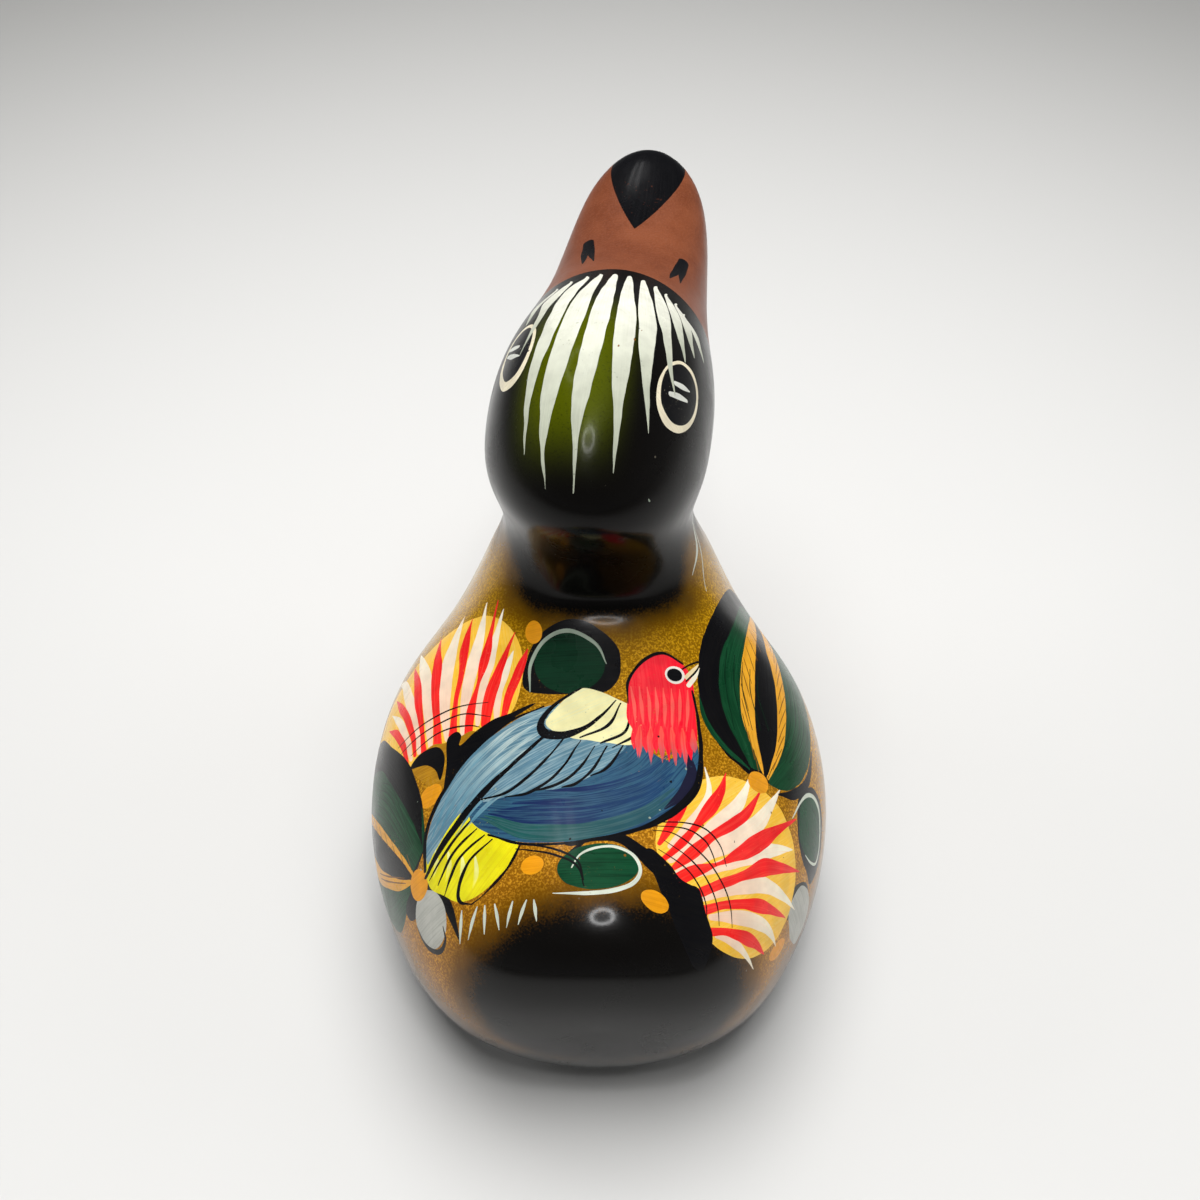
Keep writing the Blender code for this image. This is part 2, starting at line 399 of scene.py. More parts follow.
patch(right_side, [(-12.3, 4.8), (-9.4, -0.4), (-4.9, -1.8), (-0.3, -0.6), (3.0, 2), (3.4, 5.2), (0.5, 9.6),
                   (-3.1, 13), (-7.7, 13.4), (-10.9, 11.4), (-12.8, 8)], disc_green)
ribbon(right_side, [(-14.6, 2.2, 0.2), (-13.3, 8.2, 0.7), (-10.9, 12.2, 1.1), (-7, 14, 1.2),
                    (-2.6, 13.2, 1.2), (1.0, 9.4, 1.0), (3.8, 5.2, 0.9), (3.6, 1.2, 0.8),
                    (-0.3, -1.2, 0.7), (-4.6, -1.9, 0.2)],
       rim_white, 0.05)
patch(right_side, [(-4.4, -17), (-4.8, -12), (-1.6, -8), (3, -6.4), (6, -9), (1, -12), (-2, -16),
                   (-2.2, -20)],
      shade_black)
patch(right_side, [(-3.1, -18.4), (-3.5, -13.6), (-1.2, -8.8), (3.8, -7.0), (9.7, -7.8), (12.4, -12),
                   (11.1, -18), (7, -20.6), (2.7, -21.2)], disc_grey)


# Golden dots
# Single dabs of ochre between the motifs.
ochre = mix((0.76, 0.31, 0.008), streak=(0.60, 0.21, 0.005), streaks=0.5)
for at, x, y, wide, high, turn in (
    (back, -11.0, -21.0, 5.6, 4.6, 8), (back, 17.6, -30.4, 6.4, 4.6, -35), (back, -37.5, 2.5, 6.0, 5.0, 20),
    (right_side, -1.0, -27.6, 4.4, 8.4, -28),
):
    oval(at, x, y, wide, high, ochre, turn)


# Fan flowers
# Yellow suns with red and cream petals pulled outwards from a black calyx, and fine arcs drawn across them.
sun_yellow = mix((0.90, 0.50, 0.035), streak=(0.92, 0.62, 0.12), streaks=0.7)
petal_red = mix((0.86, 0.014, 0.012), tip=(0.80, 0.008, 0.012), streak=(0.90, 0.07, 0.045),
                streaks=0.5, dry=0.12)
petal_cream = mix((0.86, 0.56, 0.40), tip=(0.88, 0.82, 0.64), streak=(0.88, 0.68, 0.50),
                  streaks=0.6, dry=0.30)
slip_gold = mix((0.36, 0.16, 0.004), streak=(0.52, 0.27, 0.012), streaks=0.8)
hair_black = mix(BLACK, streak=(0.010, 0.010, 0.010), dry=0.15)

left_shoulder = spot(0.2232, 0.585)
right_shoulder = spot(0.2295, -0.658)
patch(left_shoulder, [(13, -8), (17.2, 0), (18.5, 8), (16.6, 15.5), (12, 20.8), (5, 23.5), (-3, 23.4),
                      (-11, 21.5), (-19, 18.5), (-27, 14), (-33, 7), (-34, -1), (-28, -8), (-18, -12),
                      (-6, -12), (4, -11)],
      sun_yellow, [(-4, -10), (-4, 24)])
CREAM_PETALS_LEFT = (
    ((-17.0, -9.5, 1.2), (-18.2, -4, 2.4), (-21, 3, 2.4), (-26, 9, 0.2)),
    ((-14, -9, 1.2), (-14.6, 0, 3.0), (-17.2, 8, 3.6), (-21, 16, 2.4), (-26, 20.5, 0.2)),
    ((-10, -9.5, 1.4), (-10, 2, 3.4), (-10.7, 11, 4.4), (-13, 18, 2.8), (-16, 24, 0.2)),
    ((-4.5, -9, 1.6), (-4.5, 2, 4.0), (-3, 11, 4.8), (-0.4, 19, 3.0), (1.8, 27, 0.2)),
    ((0, -9, 1.4), (2, 0, 3.0), (5, 9, 3.8), (8, 17, 2.6), (10, 26.5, 0.2)),
    ((4.5, -8, 1.2), (6.6, 1, 2.8), (9.6, 8, 3.2), (12.5, 15, 1.8), (15.4, 21.5, 0.2)),
    ((9.5, -9, 1.0), (11, -1, 2.4), (13.5, 4, 2.4), (16.4, 9, 0.2)),
)
RED_PETALS_LEFT = (
    ((-18.5, -10, 1.0), (-20, -4, 2.2), (-23, 1, 2.2), (-27, 4.5, 0.2)),
    ((-15.5, -9, 1.2), (-16, -3, 2.0), (-18.5, 4, 2.4), (-21, 8, 2.2), (-24.5, 13, 0.3)),
    ((-12.3, -9.5, 2.0), (-12.6, -2, 1.7), (-13.5, 6, 3.0), (-14.5, 13, 2.6), (-17, 19.5, 0.2)),
    ((-7.8, -10, 3.0), (-7.3, -3, 2.4), (-7.3, 5, 2.8), (-6.6, 13, 3.6), (-6.5, 23.5, 0.2)),
    ((-2.8, -8.5, 2.6), (-1, 0, 1.5), (1.5, 8, 1.9), (3, 15, 2.9), (5.2, 23.5, 0.2)),
    ((1.5, -10.5, 2.2), (3, -4, 2.6), (6, 3, 1.0), (8.5, 9, 2.9), (11, 16, 1.4), (14, 25, 0.2)),
    ((6.5, -8.5, 2.4), (8.5, -2, 3.4), (11, 3, 2.8), (15, 10, 1.2), (17.6, 14, 0.2)),
    ((11.5, -8, 1.5), (14, -2, 2.3), (17.5, 4, 2.3), (20, 8.5, 0.3)),
)
disc_right = [(-20.5, 1), (-18.8, 9.5), (-13.5, 17), (-6, 21.6), (3, 22.4), (11.5, 20.6), (18.6, 15),
              (23, 7.5), (23.8, -1), (21.4, -9), (16, -15.6), (9, -19.6), (1, -20.4), (-7, -18),
              (-14, -12), (-18.8, -5.5)]
patch(right_flank, disc_right, sun_yellow, [(-8, -8), (16, 16)])
CREAM_PETALS_RIGHT = (
    ((-17, -1, 1.2), (-13, 6, 2.4), (-10, 12, 2.4), (-9.5, 17, 1.4), (-11.5, 22, 0.2)),
    ((-16.5, -4.5, 1.3), (-11, 2, 3.0), (-6, 9, 3.4), (-1, 16, 3.2), (1.4, 25, 0.2)),
    ((-14.5, -7, 1.4), (-8, 0, 3.4), (0, 7, 4.8), (6, 14, 4.2), (11.5, 25.5, 0.2)),
    ((-10, -6, 1.5), (0, 1, 3.4), (8, 6.5, 4.2), (14, 10, 2.6), (19.5, 12.4, 0.2)),
    ((-7, -11, 1.4), (1, -5, 4.2), (10, -1, 4.2), (17, 0, 2.8), (26.5, 0, 0.2)),
    ((-4, -14.5, 1.3), (3, -12, 3.2), (11, -10, 3.6), (17, -10, 2.2), (21.5, -11.4, 0.2)),
    ((-1, -18, 1.0), (5, -17.5, 2.0), (10, -18.3, 1.4), (15, -19.6, 0.2)),
)
RED_PETALS_RIGHT = (
    ((-19.5, -1, 1.0), (-18, 3, 2.0), (-16, 8, 2.4), (-14, 12.4, 0.3)),
    ((-18, -4.5, 1.2), (-14.5, 0.5, 2.0), (-11.5, 6, 1.8), (-8.5, 12, 3.4), (-6.5, 17, 2.4),
     (-5.8, 22.5, 0.2)),
    ((-15.5, -6, 1.2), (-11.5, -1, 3.0), (-7, 5, 2.2), (-2, 10, 2.8), (2, 15, 2.4), (5, 22, 0.3)),
    ((-14, -8.5, 3.0), (-10, -5, 3.0), (-4, -1, 1.0), (3, 5, 4.0), (8, 10, 4.4), (13, 15, 2.2),
     (19, 20.5, 0.3)),
    ((-7.5, -9.5, 2.4), (-3, -6, 2.4), (4, -1, 2.4), (10, 3.5, 4.4), (16, 6, 2.8), (24.4, 9, 0.3)),
    ((-6, -13.5, 2.4), (-1, -10.5, 2.0), (5, -8, 2.4), (11, -6, 3.6), (16, -5, 2.2), (22.4, -4, 0.3)),
    ((-2.5, -17.5, 2.0), (2, -16, 1.8), (8, -15, 3.2), (13, -14.8, 2.2), (17, -15.2, 0.4)),
)
for at, creams, reds in ((left_shoulder, CREAM_PETALS_LEFT, RED_PETALS_LEFT),
                         (right_flank, CREAM_PETALS_RIGHT, RED_PETALS_RIGHT)):
    for petal in creams:
        ribbon(at, petal, petal_cream)
    for petal in reds:
        ribbon(at, petal, petal_red)

for at, arcs in (
    (left_shoulder, (((-22, -3.8), (-14, -2), (-7, -1.4), (0, -1.5), (8, -3)),
                     ((-21, -6.2), (-14, -4.5), (-6, -3.8), (1, -4), (8, -7)),
                     ((-17, -8.5), (-10, -6.7), (-4, -6.4), (2, -7.6), (5, -9)))),
    (right_flank, (((-23, 3.5), (-15, 6), (-9, 6.3), (-4.5, 3.5), (-2, -1)),
                   ((-22, 3), (-14, 4.7), (-9, 3.5), (-6.5, 1), (-4.8, -2)),
                   ((-21.5, 2), (-16, 2.5), (-8, -1), (-2, -6), (1, -10), (3, -14.5)),
                   ((-18.5, 0.2), (-12, -2.5), (-7, -6), (-3, -11), (-1, -15.5)),
                   ((-19.5, -2.5), (-13, -5), (-9, -8), (-6, -12), (-5, -15)))),
):
    for points in arcs:
        swell = np.sin(np.linspace(0, math.pi, len(points)))
        ribbon(at, [(x, y, 0.18 + 0.26 * more) for (x, y), more in zip(points, swell)], hair_black, 0.03)

# The black sepals that hold each fan, with the slip's gold between them
for at, paint, outline in (
    (left_shoulder, slip_gold, ((-17, -12), (-10, -9), (-4, -10), (3, -9.5), (6, -13), (-2, -20), (-9, -21),
                                (-14, -17))),
    (left_shoulder, shade_black, ((-17.5, -12), (-14.6, -9.8), (-10, -9.4), (-7, -10.6), (-5.9, -14),
                                  (-8.0, -19), (-9.2, -16), (-12, -13.4))),
    (left_shoulder, shade_black, ((-7.3, -22.5), (-5.6, -16), (-5.2, -11.6), (-4.2, -8.8), (-1.6, -8),
                                  (-0.4, -9.6), (-1.2, -12), (3, -10.2), (8, -8.2), (13, -7.6), (20, -6.4),
                                  (12.4, -9.8), (5, -14.4), (-3, -18.6))),
    (left_shoulder, slip_gold, ((-4.4, -19.6), (4, -15.6), (13, -11), (20, -8), (27, -6.6), (20, -10.4),
                                (11, -15), (2, -21), (-3, -25))),
    (right_flank, shade_black, ((-21, -2.8), (-16.5, -5.6), (-13.4, -8.2), (-8.4, -9.6), (-6.2, -13),
                                (-3.2, -18), (-1.2, -25.5), (-4.6, -26), (-10, -22), (-15.6, -15.6),
                                (-19.6, -9.4), (-22.5, -4.4))),
    (right_flank, shade_black, ((-12.6, -11), (-10.4, -8.9), (-8.3, -9.4), (-7.6, -11.2), (-9.6, -12.8))),
    (right_flank, shade_black, ((-6, -14), (-3.6, -16.4), (-1.6, -19.5), (-1.4, -25.4), (-3.6, -21.5),
                                (-6.2, -17.5))),
):
    patch(at, outline, paint)
oval(left_shoulder, -11.5, -22, 7.6, 5.0, ochre, 18)
oval(left_shoulder, 22.3, 12.6, 4.2, 6.4, ochre, -8)
oval(right_flank, -18.4, -15.3, 7.0, 4.6, ochre, -20)


# Long leaves
# Green leaves on the shoulders with ochre ribs, a black heart and black shade behind them.
leaf_green = mix((0.003, 0.040, 0.014), streak=(0.010, 0.080, 0.030), streaks=0.7)
rib_ochre = mix((0.76, 0.36, 0.020), streak=(0.60, 0.24, 0.010), streaks=0.5)
vein_brown = mix((0.20, 0.080, 0.005))


def between_edges(at, first, second, paint):
    """An area between two lines that run the same way, filled in along them."""
    first, second = smooth_run(first), smooth_run(second)
    middle = []
    for share in (0, 0.33, 0.66, 1):
        middle.append(0.5 * (first[int(share * (len(first) - 1))] + second[int(share * (len(second) - 1))]))
    patch(at, np.vstack([first[::6], first[-1:], second[::-6], second[:1]]), paint, middle)


def leaf(at, edges, paints):
    """A leaf from its edges: black under all of it, then a band of paint between each pair of them."""
    between_edges(at, edges[0], edges[-1], shade_black)
    for first, second, paint in zip(edges, edges[1:], paints):
        between_edges(at, first, second, paint)


LEAF_EDGES_RIGHT = (
    ((9, 43), (0, 41), (-6, 36), (-12, 26), (-15, 19), (-16.8, 11), (-16.6, 4), (-15, -4), (-11, -12),
     (-5, -17.6), (2, -20)),
    ((10, 41), (2, 36.6), (-1.6, 32), (-5, 26), (-8.5, 18), (-10.8, 11), (-11, 5), (-10, -1), (-7, -8),
     (-2, -14), (2, -18)),
    ((11, 40), (6, 35.6), (3, 31), (0, 26), (-3, 19), (-4.5, 11), (-4.5, 3), (-3, -5), (0, -10.5),
     (5, -17.4)),
    ((11.5, 40), (8, 35.6), (5.8, 31), (3.5, 26), (1, 19), (0, 11), (0.5, 1), (2, -8), (5.4, -16),
     (6.2, -18.4)),
    ((12, 40), (9, 33), (7, 27), (5.2, 20), (6, 15), (7.5, 8), (8.5, 0), (9, -8), (8, -15), (7.2, -18.6)),
    ((12.5, 40), (11.5, 34), (10.5, 28), (10, 22), (10.5, 15), (11.5, 8), (12, 0), (11.7, -8), (10, -14),
     (8, -19)),
    ((13, 41), (17.5, 35), (20.6, 28), (22.4, 20), (24, 10), (24, 0), (22.5, -8), (19, -15), (14, -19.3),
     (8.4, -20)),
)
LEAF_EDGES_LEFT = (
    ((-29, 36), (-20, 38), (-8.5, 35.2), (-3, 30.6), (1.9, 25), (4.6, 21.5), (6.6, 17), (7.6, 10), (7.5, 4),
     (5.5, -4.5)),
    ((-30, 34.5), (-24, 33.4), (-16.4, 29.5), (-8, 25.4), (-4, 20), (0, 12), (2.6, 5), (4, -1), (4.6, -5)),
    ((-30.5, 33), (-28, 27.6), (-24, 22.6), (-19, 18.4), (-13, 12), (-8, 4.6), (-4, -2.2), (-1.4, -8)),
    ((-31, 32), (-29.6, 25.6), (-25, 20.4), (-18, 13.6), (-12, 6.6), (-7, -0.2), (-4, -5), (-2.2, -8.8)),
    ((-31.5, 31), (-31, 22), (-27.5, 13), (-20.5, 4), (-15, -1.2), (-10, -5.2), (-6, -7.8), (-3, -9.4)),
    ((-32, 30), (-33, 20), (-30, 9), (-24, 1), (-16, -5), (-9.4, -9), (-4, -10.4)),
    ((-32.5, 29), (-34, 18), (-33, 6), (-29, -4), (-24, -11), (-19, -15.6), (-12.5, -16), (-7, -13.4),
     (-3.4, -11.2)),
)
leaf_paints = (shade_black, leaf_green, rib_ochre, shade_black, rib_ochre, leaf_green)
leaf(right_shoulder, LEAF_EDGES_RIGHT, leaf_paints)
leaf(left_flank, LEAF_EDGES_LEFT, leaf_paints)
ribbon(right_shoulder, [(-15.2, -4, 0.3), (-12.2, -10.4, 1.3), (-6.2, -15.6, 1.4), (1.4, -18.6, 0.6)],
       leaf_green)
ribbon(right_shoulder, [(24.6, -2, 0.4), (22.6, -12.6, 2.4), (17.6, -18.6, 2.6), (12, -21.2, 0.5)],
       shade_black)
ribbon(left_flank, [(7.3, 5, 0.3), (6.3, 0, 1.0), (4.8, -4, 0.6)], leaf_green)
patch(left_flank, [(-9.6, -14.2), (-3.8, -11.8), (-0.6, -13), (-2.8, -18.4), (-8.4, -17.8)], shade_black)
for k in range(11):
    y = 28 - 4.1 * k
    x = np.interp(y, (-16, -5, 3, 11, 19, 28), (3.4, -3, -4.5, -4.5, -3, 1))
    ribbon(right_shoulder, [(x + 0.3, y, 0.2), (x + 1.8, y - 3.2, 0.28), (x + 3.4, y - 6.6, 0.2)],
           vein_brown, 0.02)
    x = np.interp(y, (-16, -8, 0, 8, 15, 28), (8.6, 11.6, 12, 11.5, 10.5, 10.5))
    ribbon(right_shoulder, [(x - 0.2, y, 0.2), (x - 1.4, y - 3.2, 0.28), (x - 2.4, y - 6.8, 0.2)],
           vein_brown, 0.02)
for k in range(7):
    x, y = -21 + 2.9 * k, 17.2 - 3.7 * k
    ribbon(left_flank, [(x + 1.4, y + 2.2, 0.18), (x + 1.8, y - 2.2, 0.26)], vein_brown, 0.02)
for rise in (0, 1.5):
    ribbon(left_flank, [(-22, 1.4 + rise, 0.2), (-15, -3.4 + rise, 0.45), (-6, -8.8 + rise, 0.2)],
           vein_brown, 0.03)
vein_green = mix((0.002, 0.020, 0.008))
for k in range(5):
    lean = 2.6 * k
    for at, vein in (
        (right_shoulder, ((-9.6 + lean, 12 - k), (-8.8 + lean, 2), (-4.4 + lean, -10 + k))),
        (right_shoulder, ((13 + 0.8 * lean, 16), (14 + 0.8 * lean, 2), (11 + 0.7 * lean, -13 + k))),
        (left_flank, ((-18 + lean, 19.5 + 0.5 * k), (-9 + 1.7 * k, 11 + 1.2 * k), (-1.4 + 0.7 * k, -2))),
    ):
        ribbon(at, [(*place, width) for place, width in zip(vein, (0.18, 0.3, 0.18))], vein_green, 0.03)
oval(right_shoulder, 4.8, -21, 6.6, 5.4, ochre)
patch(left_flank, [(2.6, -12.6), (6.6, -15), (9.2, -20), (9.8, -26), (8.2, -31.4), (7.6, -26), (6, -20),
                   (3, -15.6)],
      shade_black)
oval(left_flank, 0.4, -21.8, 13.4, 14.4, disc_grey, 12)
ribbon(left_flank, [(-6.4, -20, 0.3), (-5.2, -26, 0.9), (-0.4, -30, 1.3), (3.6, -29, 0.9),
                    (4.6, -25.8, 0.2)],
       shade_black)
oval(left_flank, -0.3, -12.2, 8.0, 7.8, ochre)


# The bird
# A round-bodied songbird sits across the back: a blue body, red head and breast, pale shoulder, yellow
# tail, and the feathers and outline drawn over them in black with a fine brush.
bird_blue = mix((0.030, 0.100, 0.165), streak=(0.008, 0.022, 0.085), streaks=0.8)
bird_navy = mix((0.008, 0.020, 0.085), tip=(0.012, 0.045, 0.12), streak=(0.035, 0.10, 0.16),
                streaks=0.8, dry=0.5)
bird_teal = mix((0.012, 0.085, 0.078), tip=(0.02, 0.075, 0.10), streak=(0.05, 0.12, 0.13),
                streaks=0.8, dry=0.4)
wing_blue = mix((0.085, 0.200, 0.270), tip=(0.095, 0.200, 0.270), streak=(0.27, 0.39, 0.42), streaks=0.95)
wing_pale = mix((0.46, 0.56, 0.54), tip=(0.08, 0.22, 0.30), streak=(0.09, 0.24, 0.32), streaks=0.9, dry=0.6)
bird_red = mix((0.86, 0.008, 0.026), streak=(0.88, 0.06, 0.06), streaks=0.42)
bird_salmon = mix((0.88, 0.09, 0.06), tip=(0.55, 0.10, 0.12), streak=(0.86, 0.02, 0.03),
                  streaks=0.7, dry=0.55)
pale_yellow = mix((0.82, 0.76, 0.38), streak=(0.72, 0.74, 0.46), streaks=0.6)
tail_yellow = mix((0.76, 0.70, 0.008), streak=(0.66, 0.52, 0.006), streaks=0.6)
tail_pale = mix((0.80, 0.80, 0.30), tip=(0.78, 0.72, 0.02), streaks=0.6, dry=0.5)
eye_white = mix((0.78, 0.74, 0.66), streak=(0.62, 0.60, 0.52))

patch(back, [(-38.5, -13), (-33, -6), (-27, -5), (-20, -10), (-14.5, -15), (-18, -21.5), (-24, -26),
             (-29, -26.4), (-33, -24), (-37.5, -20)], tail_yellow, [(-22, -8), (-33, -21)])
for k in range(4):
    ribbon(back, [(-36 + 3.6 * k, -12 - 1.5 * k, 0.4), (-35.6 + 3.6 * k, -15.4 - 1.8 * k, 1.3),
                  (-36.4 + 3.6 * k, -18.6 - 1.8 * k, 0.3)], tail_pale)
for run in (((-26.5, -7), (-31.5, -11.5), (-37.5, -18.6)), ((-25, -9.5), (-31, -14), (-35, -20.6)),
            ((-23, -11.5), (-29.5, -16), (-33.2, -23.6)),
            ((-21, -13), (-27, -17.5), (-29.4, -23.4), (-29, -26.4), (-26, -27.8))):
    ribbon(back, [(x, y, 0.35 if k in (0, len(run) - 1) else 0.85) for k, (x, y) in enumerate(run)],
           hair_black)
ribbon(back, [(-26, -27.8, 0.3), (-22.5, -26, 0.5), (-17, -21, 0.7), (-14, -15.5, 0.5)], hair_black)

body_flow = [(-27, -6), (-14, -9), (4, -9), (18, -3), (26, 6)]
patch(back, [(22, 6), (28, 14), (29.3, 4), (26.5, -3), (21, -8), (15, -12), (7, -14.4), (-4, -15.8),
             (-14, -14.8), (-22, -11.3), (-27, -5.5), (-21, 3), (-9, 10), (4, 13),
             (14, 10)],
      bird_blue, body_flow)
for k in range(4):
    rise = 2.1 * k
    ribbon(back, [(-24 + k, -7 + 0.4 * k, 0.4), (-12, -13.2 + rise, 2.6), (2, -13.6 + rise, 3.2),
                  (15, -9.6 + rise, 2.4), (23, -3.5 + rise, 0.3)], (bird_teal, bird_navy)[k > 1])
ribbon(back, [(-16, -4.5, 0.4), (0, -5.2, 2.6), (14, -2.2, 2.8), (24, 5.5, 0.4)], bird_navy)
ribbon(back, [(-8, -2.2, 0.3), (4, -2.0, 1.8), (15, 1.6, 1.8), (23, 8, 0.3)], bird_navy)
breast_shade = mix((0.012, 0.012, 0.03), dry=0.4)
ribbon(back, [(26.6, 9, 0.6), (27.4, 3, 2.6), (25.0, -2.4, 2.6), (20.6, -6.8, 0.5)], breast_shade)

patch(back, [(-38.2, -14.5), (-38.3, -8), (-35, 0), (-28, 8.8), (-18, 16), (-8, 20), (0, 20), (9, 13),
             (8, 9), (1, 6), (-8, 4), (-17, 2), (-24, -2.4), (-30, -5), (-36, -12)],
      wing_blue, [(6, 12), (-18, 8), (-36, -8)])
for k in range(6):
    ribbon(back, [(-9 + 1.2 * k, 18.5 - 1.8 * k, 0.3), (-19 + 1.2 * k, 13.4 - 2.2 * k, 1.4),
                  (-30.5 + 1.5 * k, 3.2 - 1.5 * k, 1.2), (-37.4 + 1.7 * k, -9 - 0.2 * k, 0.3)], wing_pale)
patch(back, [(-8, 12.6), (-17, 5), (-24, -1.8), (-22, -3), (-18, -2.6), (-11, -2), (-4, -1.6), (3.2, 1.2),
             (9, 6), (11.5, 10), (4, 13)], wing_blue, [(8, 11), (-6, 5), (-20, -2)])
FEATHER_LINES = (
    ((-3, 12), (-9, 5), (-17, -1.2), (-24, -2.2)),
    ((0.6, 10.6), (-5, 2.4), (-12, -2.2), (-18, -2.6)),
    ((4, 9), (0, 3), (-5.5, -0.8), (-11, -1.9)),
    ((7, 9), (3.5, 3), (-0.5, -0.6), (-4, -1.5)),
    ((11, 9.5), (8.4, 5), (6, 2.6), (3, 1.2)),
)
for first, second, third, last in FEATHER_LINES:
    ribbon(back, [(*first, 0.3), (*second, 0.7), (*third, 0.8), (*last, 0.3)], hair_black)
ribbon(back, [(-8, 12.6, 0.8), (-17, 5, 1.1), (-23.5, -0.4, 1.7), (-30, -7, 1.9), (-35, -12.5, 1.6),
              (-38.6, -17.5, 0.9)], hair_black)
ribbon(back, [(-8.5, 20.2, 0.4), (-18, 16.6, 0.7), (-28, 9.3, 0.9), (-35.3, 0.4, 1.1), (-38.8, -7.5, 1.0),
              (-38.8, -16, 0.8)], hair_black)

patch(back, [(1, 24.5), (8, 22.4), (14, 18.8), (16, 14), (14.5, 9.8), (9, 9.6), (4, 10.4), (-1, 11.2),
             (-6, 13.4), (-8, 16), (-4.5, 20.5)], pale_yellow, [(14, 20), (0, 14)])
NECK_LINES = (
    ((10.6, 20.4), (7.4, 14.6), (0.5, 11.4)),
    ((13, 18.4), (11.4, 12.8), (5.4, 9.8)),
    ((15, 17.6), (14.2, 12.4), (8.4, 8.6)),
)
for first, second, last in NECK_LINES:
    ribbon(back, [(*first, 0.3), (*second, 0.8), (*last, 0.4)], hair_black)
ribbon(back, [(1, 24.6, 0.4), (-5, 21, 0.9), (-9, 16.6, 1.6), (-8.4, 13.2, 2.4), (-4, 12.2, 2.1),
              (1.4, 13.8, 1.3), (6, 17.4, 0.7), (9.4, 21.2, 0.3)], hair_black)

patch(back, [(12.2, 21), (12.8, 26.5), (16.4, 31.6), (21.5, 34), (26, 32), (28.6, 28), (28.8, 22),
             (29.2, 15), (28.6, 11), (25.5, 9.4), (21.5, 9), (17.4, 9.4), (15, 10), (13.6, 13),
             (12, 16.5)], bird_red,
      [(20, 34), (21, 20), (19, 4)])
RED_TIPS = ((13.6, 8.4), (14.6, 5.4), (16.6, 7.6), (17.6, 4.4), (19.0, 7.4), (20.4, 5.2), (22.0, 5.6),
            (23.6, 4.6), (24.8, 7.0), (26.2, 4.4), (27.4, 6.6), (28.4, 8.6))
for k, (tip_x, tip_y) in enumerate(RED_TIPS):
    root_x = 13.8 + 1.30 * k
    ribbon(back, [(root_x, 14.5, 0.5), (0.5 * (root_x + tip_x), 10.5, 1.8), (tip_x, tip_y, 0.2)],
           (bird_red, bird_salmon)[k % 2])
red_light = mix((0.88, 0.10, 0.08), dry=0.6)
for k in range(8):
    ribbon(back, [(13.2 + 2.0 * k, 25, 0.2), (13.8 + 1.9 * k, 20, 0.9), (14.2 + 1.75 * k, 14, 0.2)],
           red_light)

ribbon(back, [(27.4, 28.6, 1.6), (28.9, 30.4, 1.1), (30.2, 32.4, 0.2)], mix((0.76, 0.62, 0.36)))
ribbon(back, [(27.6, 26.4, 1.2), (29.2, 28.8, 1.0), (30.4, 31.6, 0.2)], mix((0.80, 0.74, 0.58)))
ribbon(back, [(26.0, 30.5, 0.3), (28.4, 32.2, 0.5), (30.6, 33.2, 0.4), (31.0, 31.4, 0.2)], hair_black)
ribbon(back, [(27.0, 27.4, 0.3), (29.4, 30.2, 0.5), (31.2, 33.2, 0.3)], hair_black)
oval(back, 24.2, 28.8, 5.0, 4.8, eye_white)
oval(back, 24.2, 28.8, 3.7, 3.6, hair_black)
ribbon(back, [(12.4, 20.5, 0.3), (12.6, 26.5, 0.7), (16.6, 32.2, 0.9), (21.5, 34.4, 0.8), (26.4, 32, 0.4)],
       hair_black)
ribbon(back, [(28.4, 25, 0.4), (29.5, 18, 0.8), (29.9, 9, 1.1), (29.0, 1.4, 1.7), (26.2, -3.8, 2.0),
              (21, -8.7, 1.8), (15, -12.3, 1.2), (7, -14.7, 0.8), (-4, -16.2, 0.7), (-14, -15.2, 0.7),
              (-22, -11.6, 0.5)], hair_black)
for lift in (0, 1.4):
    ribbon(back, [(-15, -15.0 - lift, 0.3), (-6, -17.4 - lift, 0.55), (-0.4, -20.6 - lift, 0.55),
                  (1.2, -25.6 - lift, 0.25)], hair_black, 0.05)


# Small fillers round the motifs
# A few dry white ticks on the rump, fine hairs on the neck, and specks of spatter off the brush.
for k in range(7):
    x = -28.5 + 3.1 * k
    lean = 0.9 * math.sin(1.7 * k)
    ribbon(back, [(x + lean, -28.6 - 0.15 * k, 0.3), (x - 0.3, -31.8, 0.8),
                  (x - 0.6 - lean, -35.6 + 0.2 * k, 0.2)],
           rim_white, 0.05)
neck_right = spot(0.40, -0.95)
ribbon(neck_right, [(-21.5, 7, 0.2), (-16.2, 2.0, 1.4), (-14.0, -5.6, 0.2)], rim_white, 0.05)
ribbon(neck_right, [(-21.0, 7.6, 0.2), (-13.0, 2.8, 0.6), (-6.5, -5.0, 0.15)], rim_white, 0.05)
SPATTER_SEED = 23
spatter = np.random.default_rng(SPATTER_SEED)
for at, reach_x, reach_y, count in ((head, 20, 24, 9), (back, 30, 26, 10), (right_flank, 22, 18, 6),
                                    (left_flank, 16, 22, 4)):
    for k in range(count):
        x, y = spatter.uniform(-reach_x, reach_x), spatter.uniform(-reach_y, reach_y)
        size = spatter.uniform(0.25, 0.6)
        oval(at, x, y, size, size * spatter.uniform(0.8, 1.5), (rim_grey, vein_brown, shade_black)[k % 3])


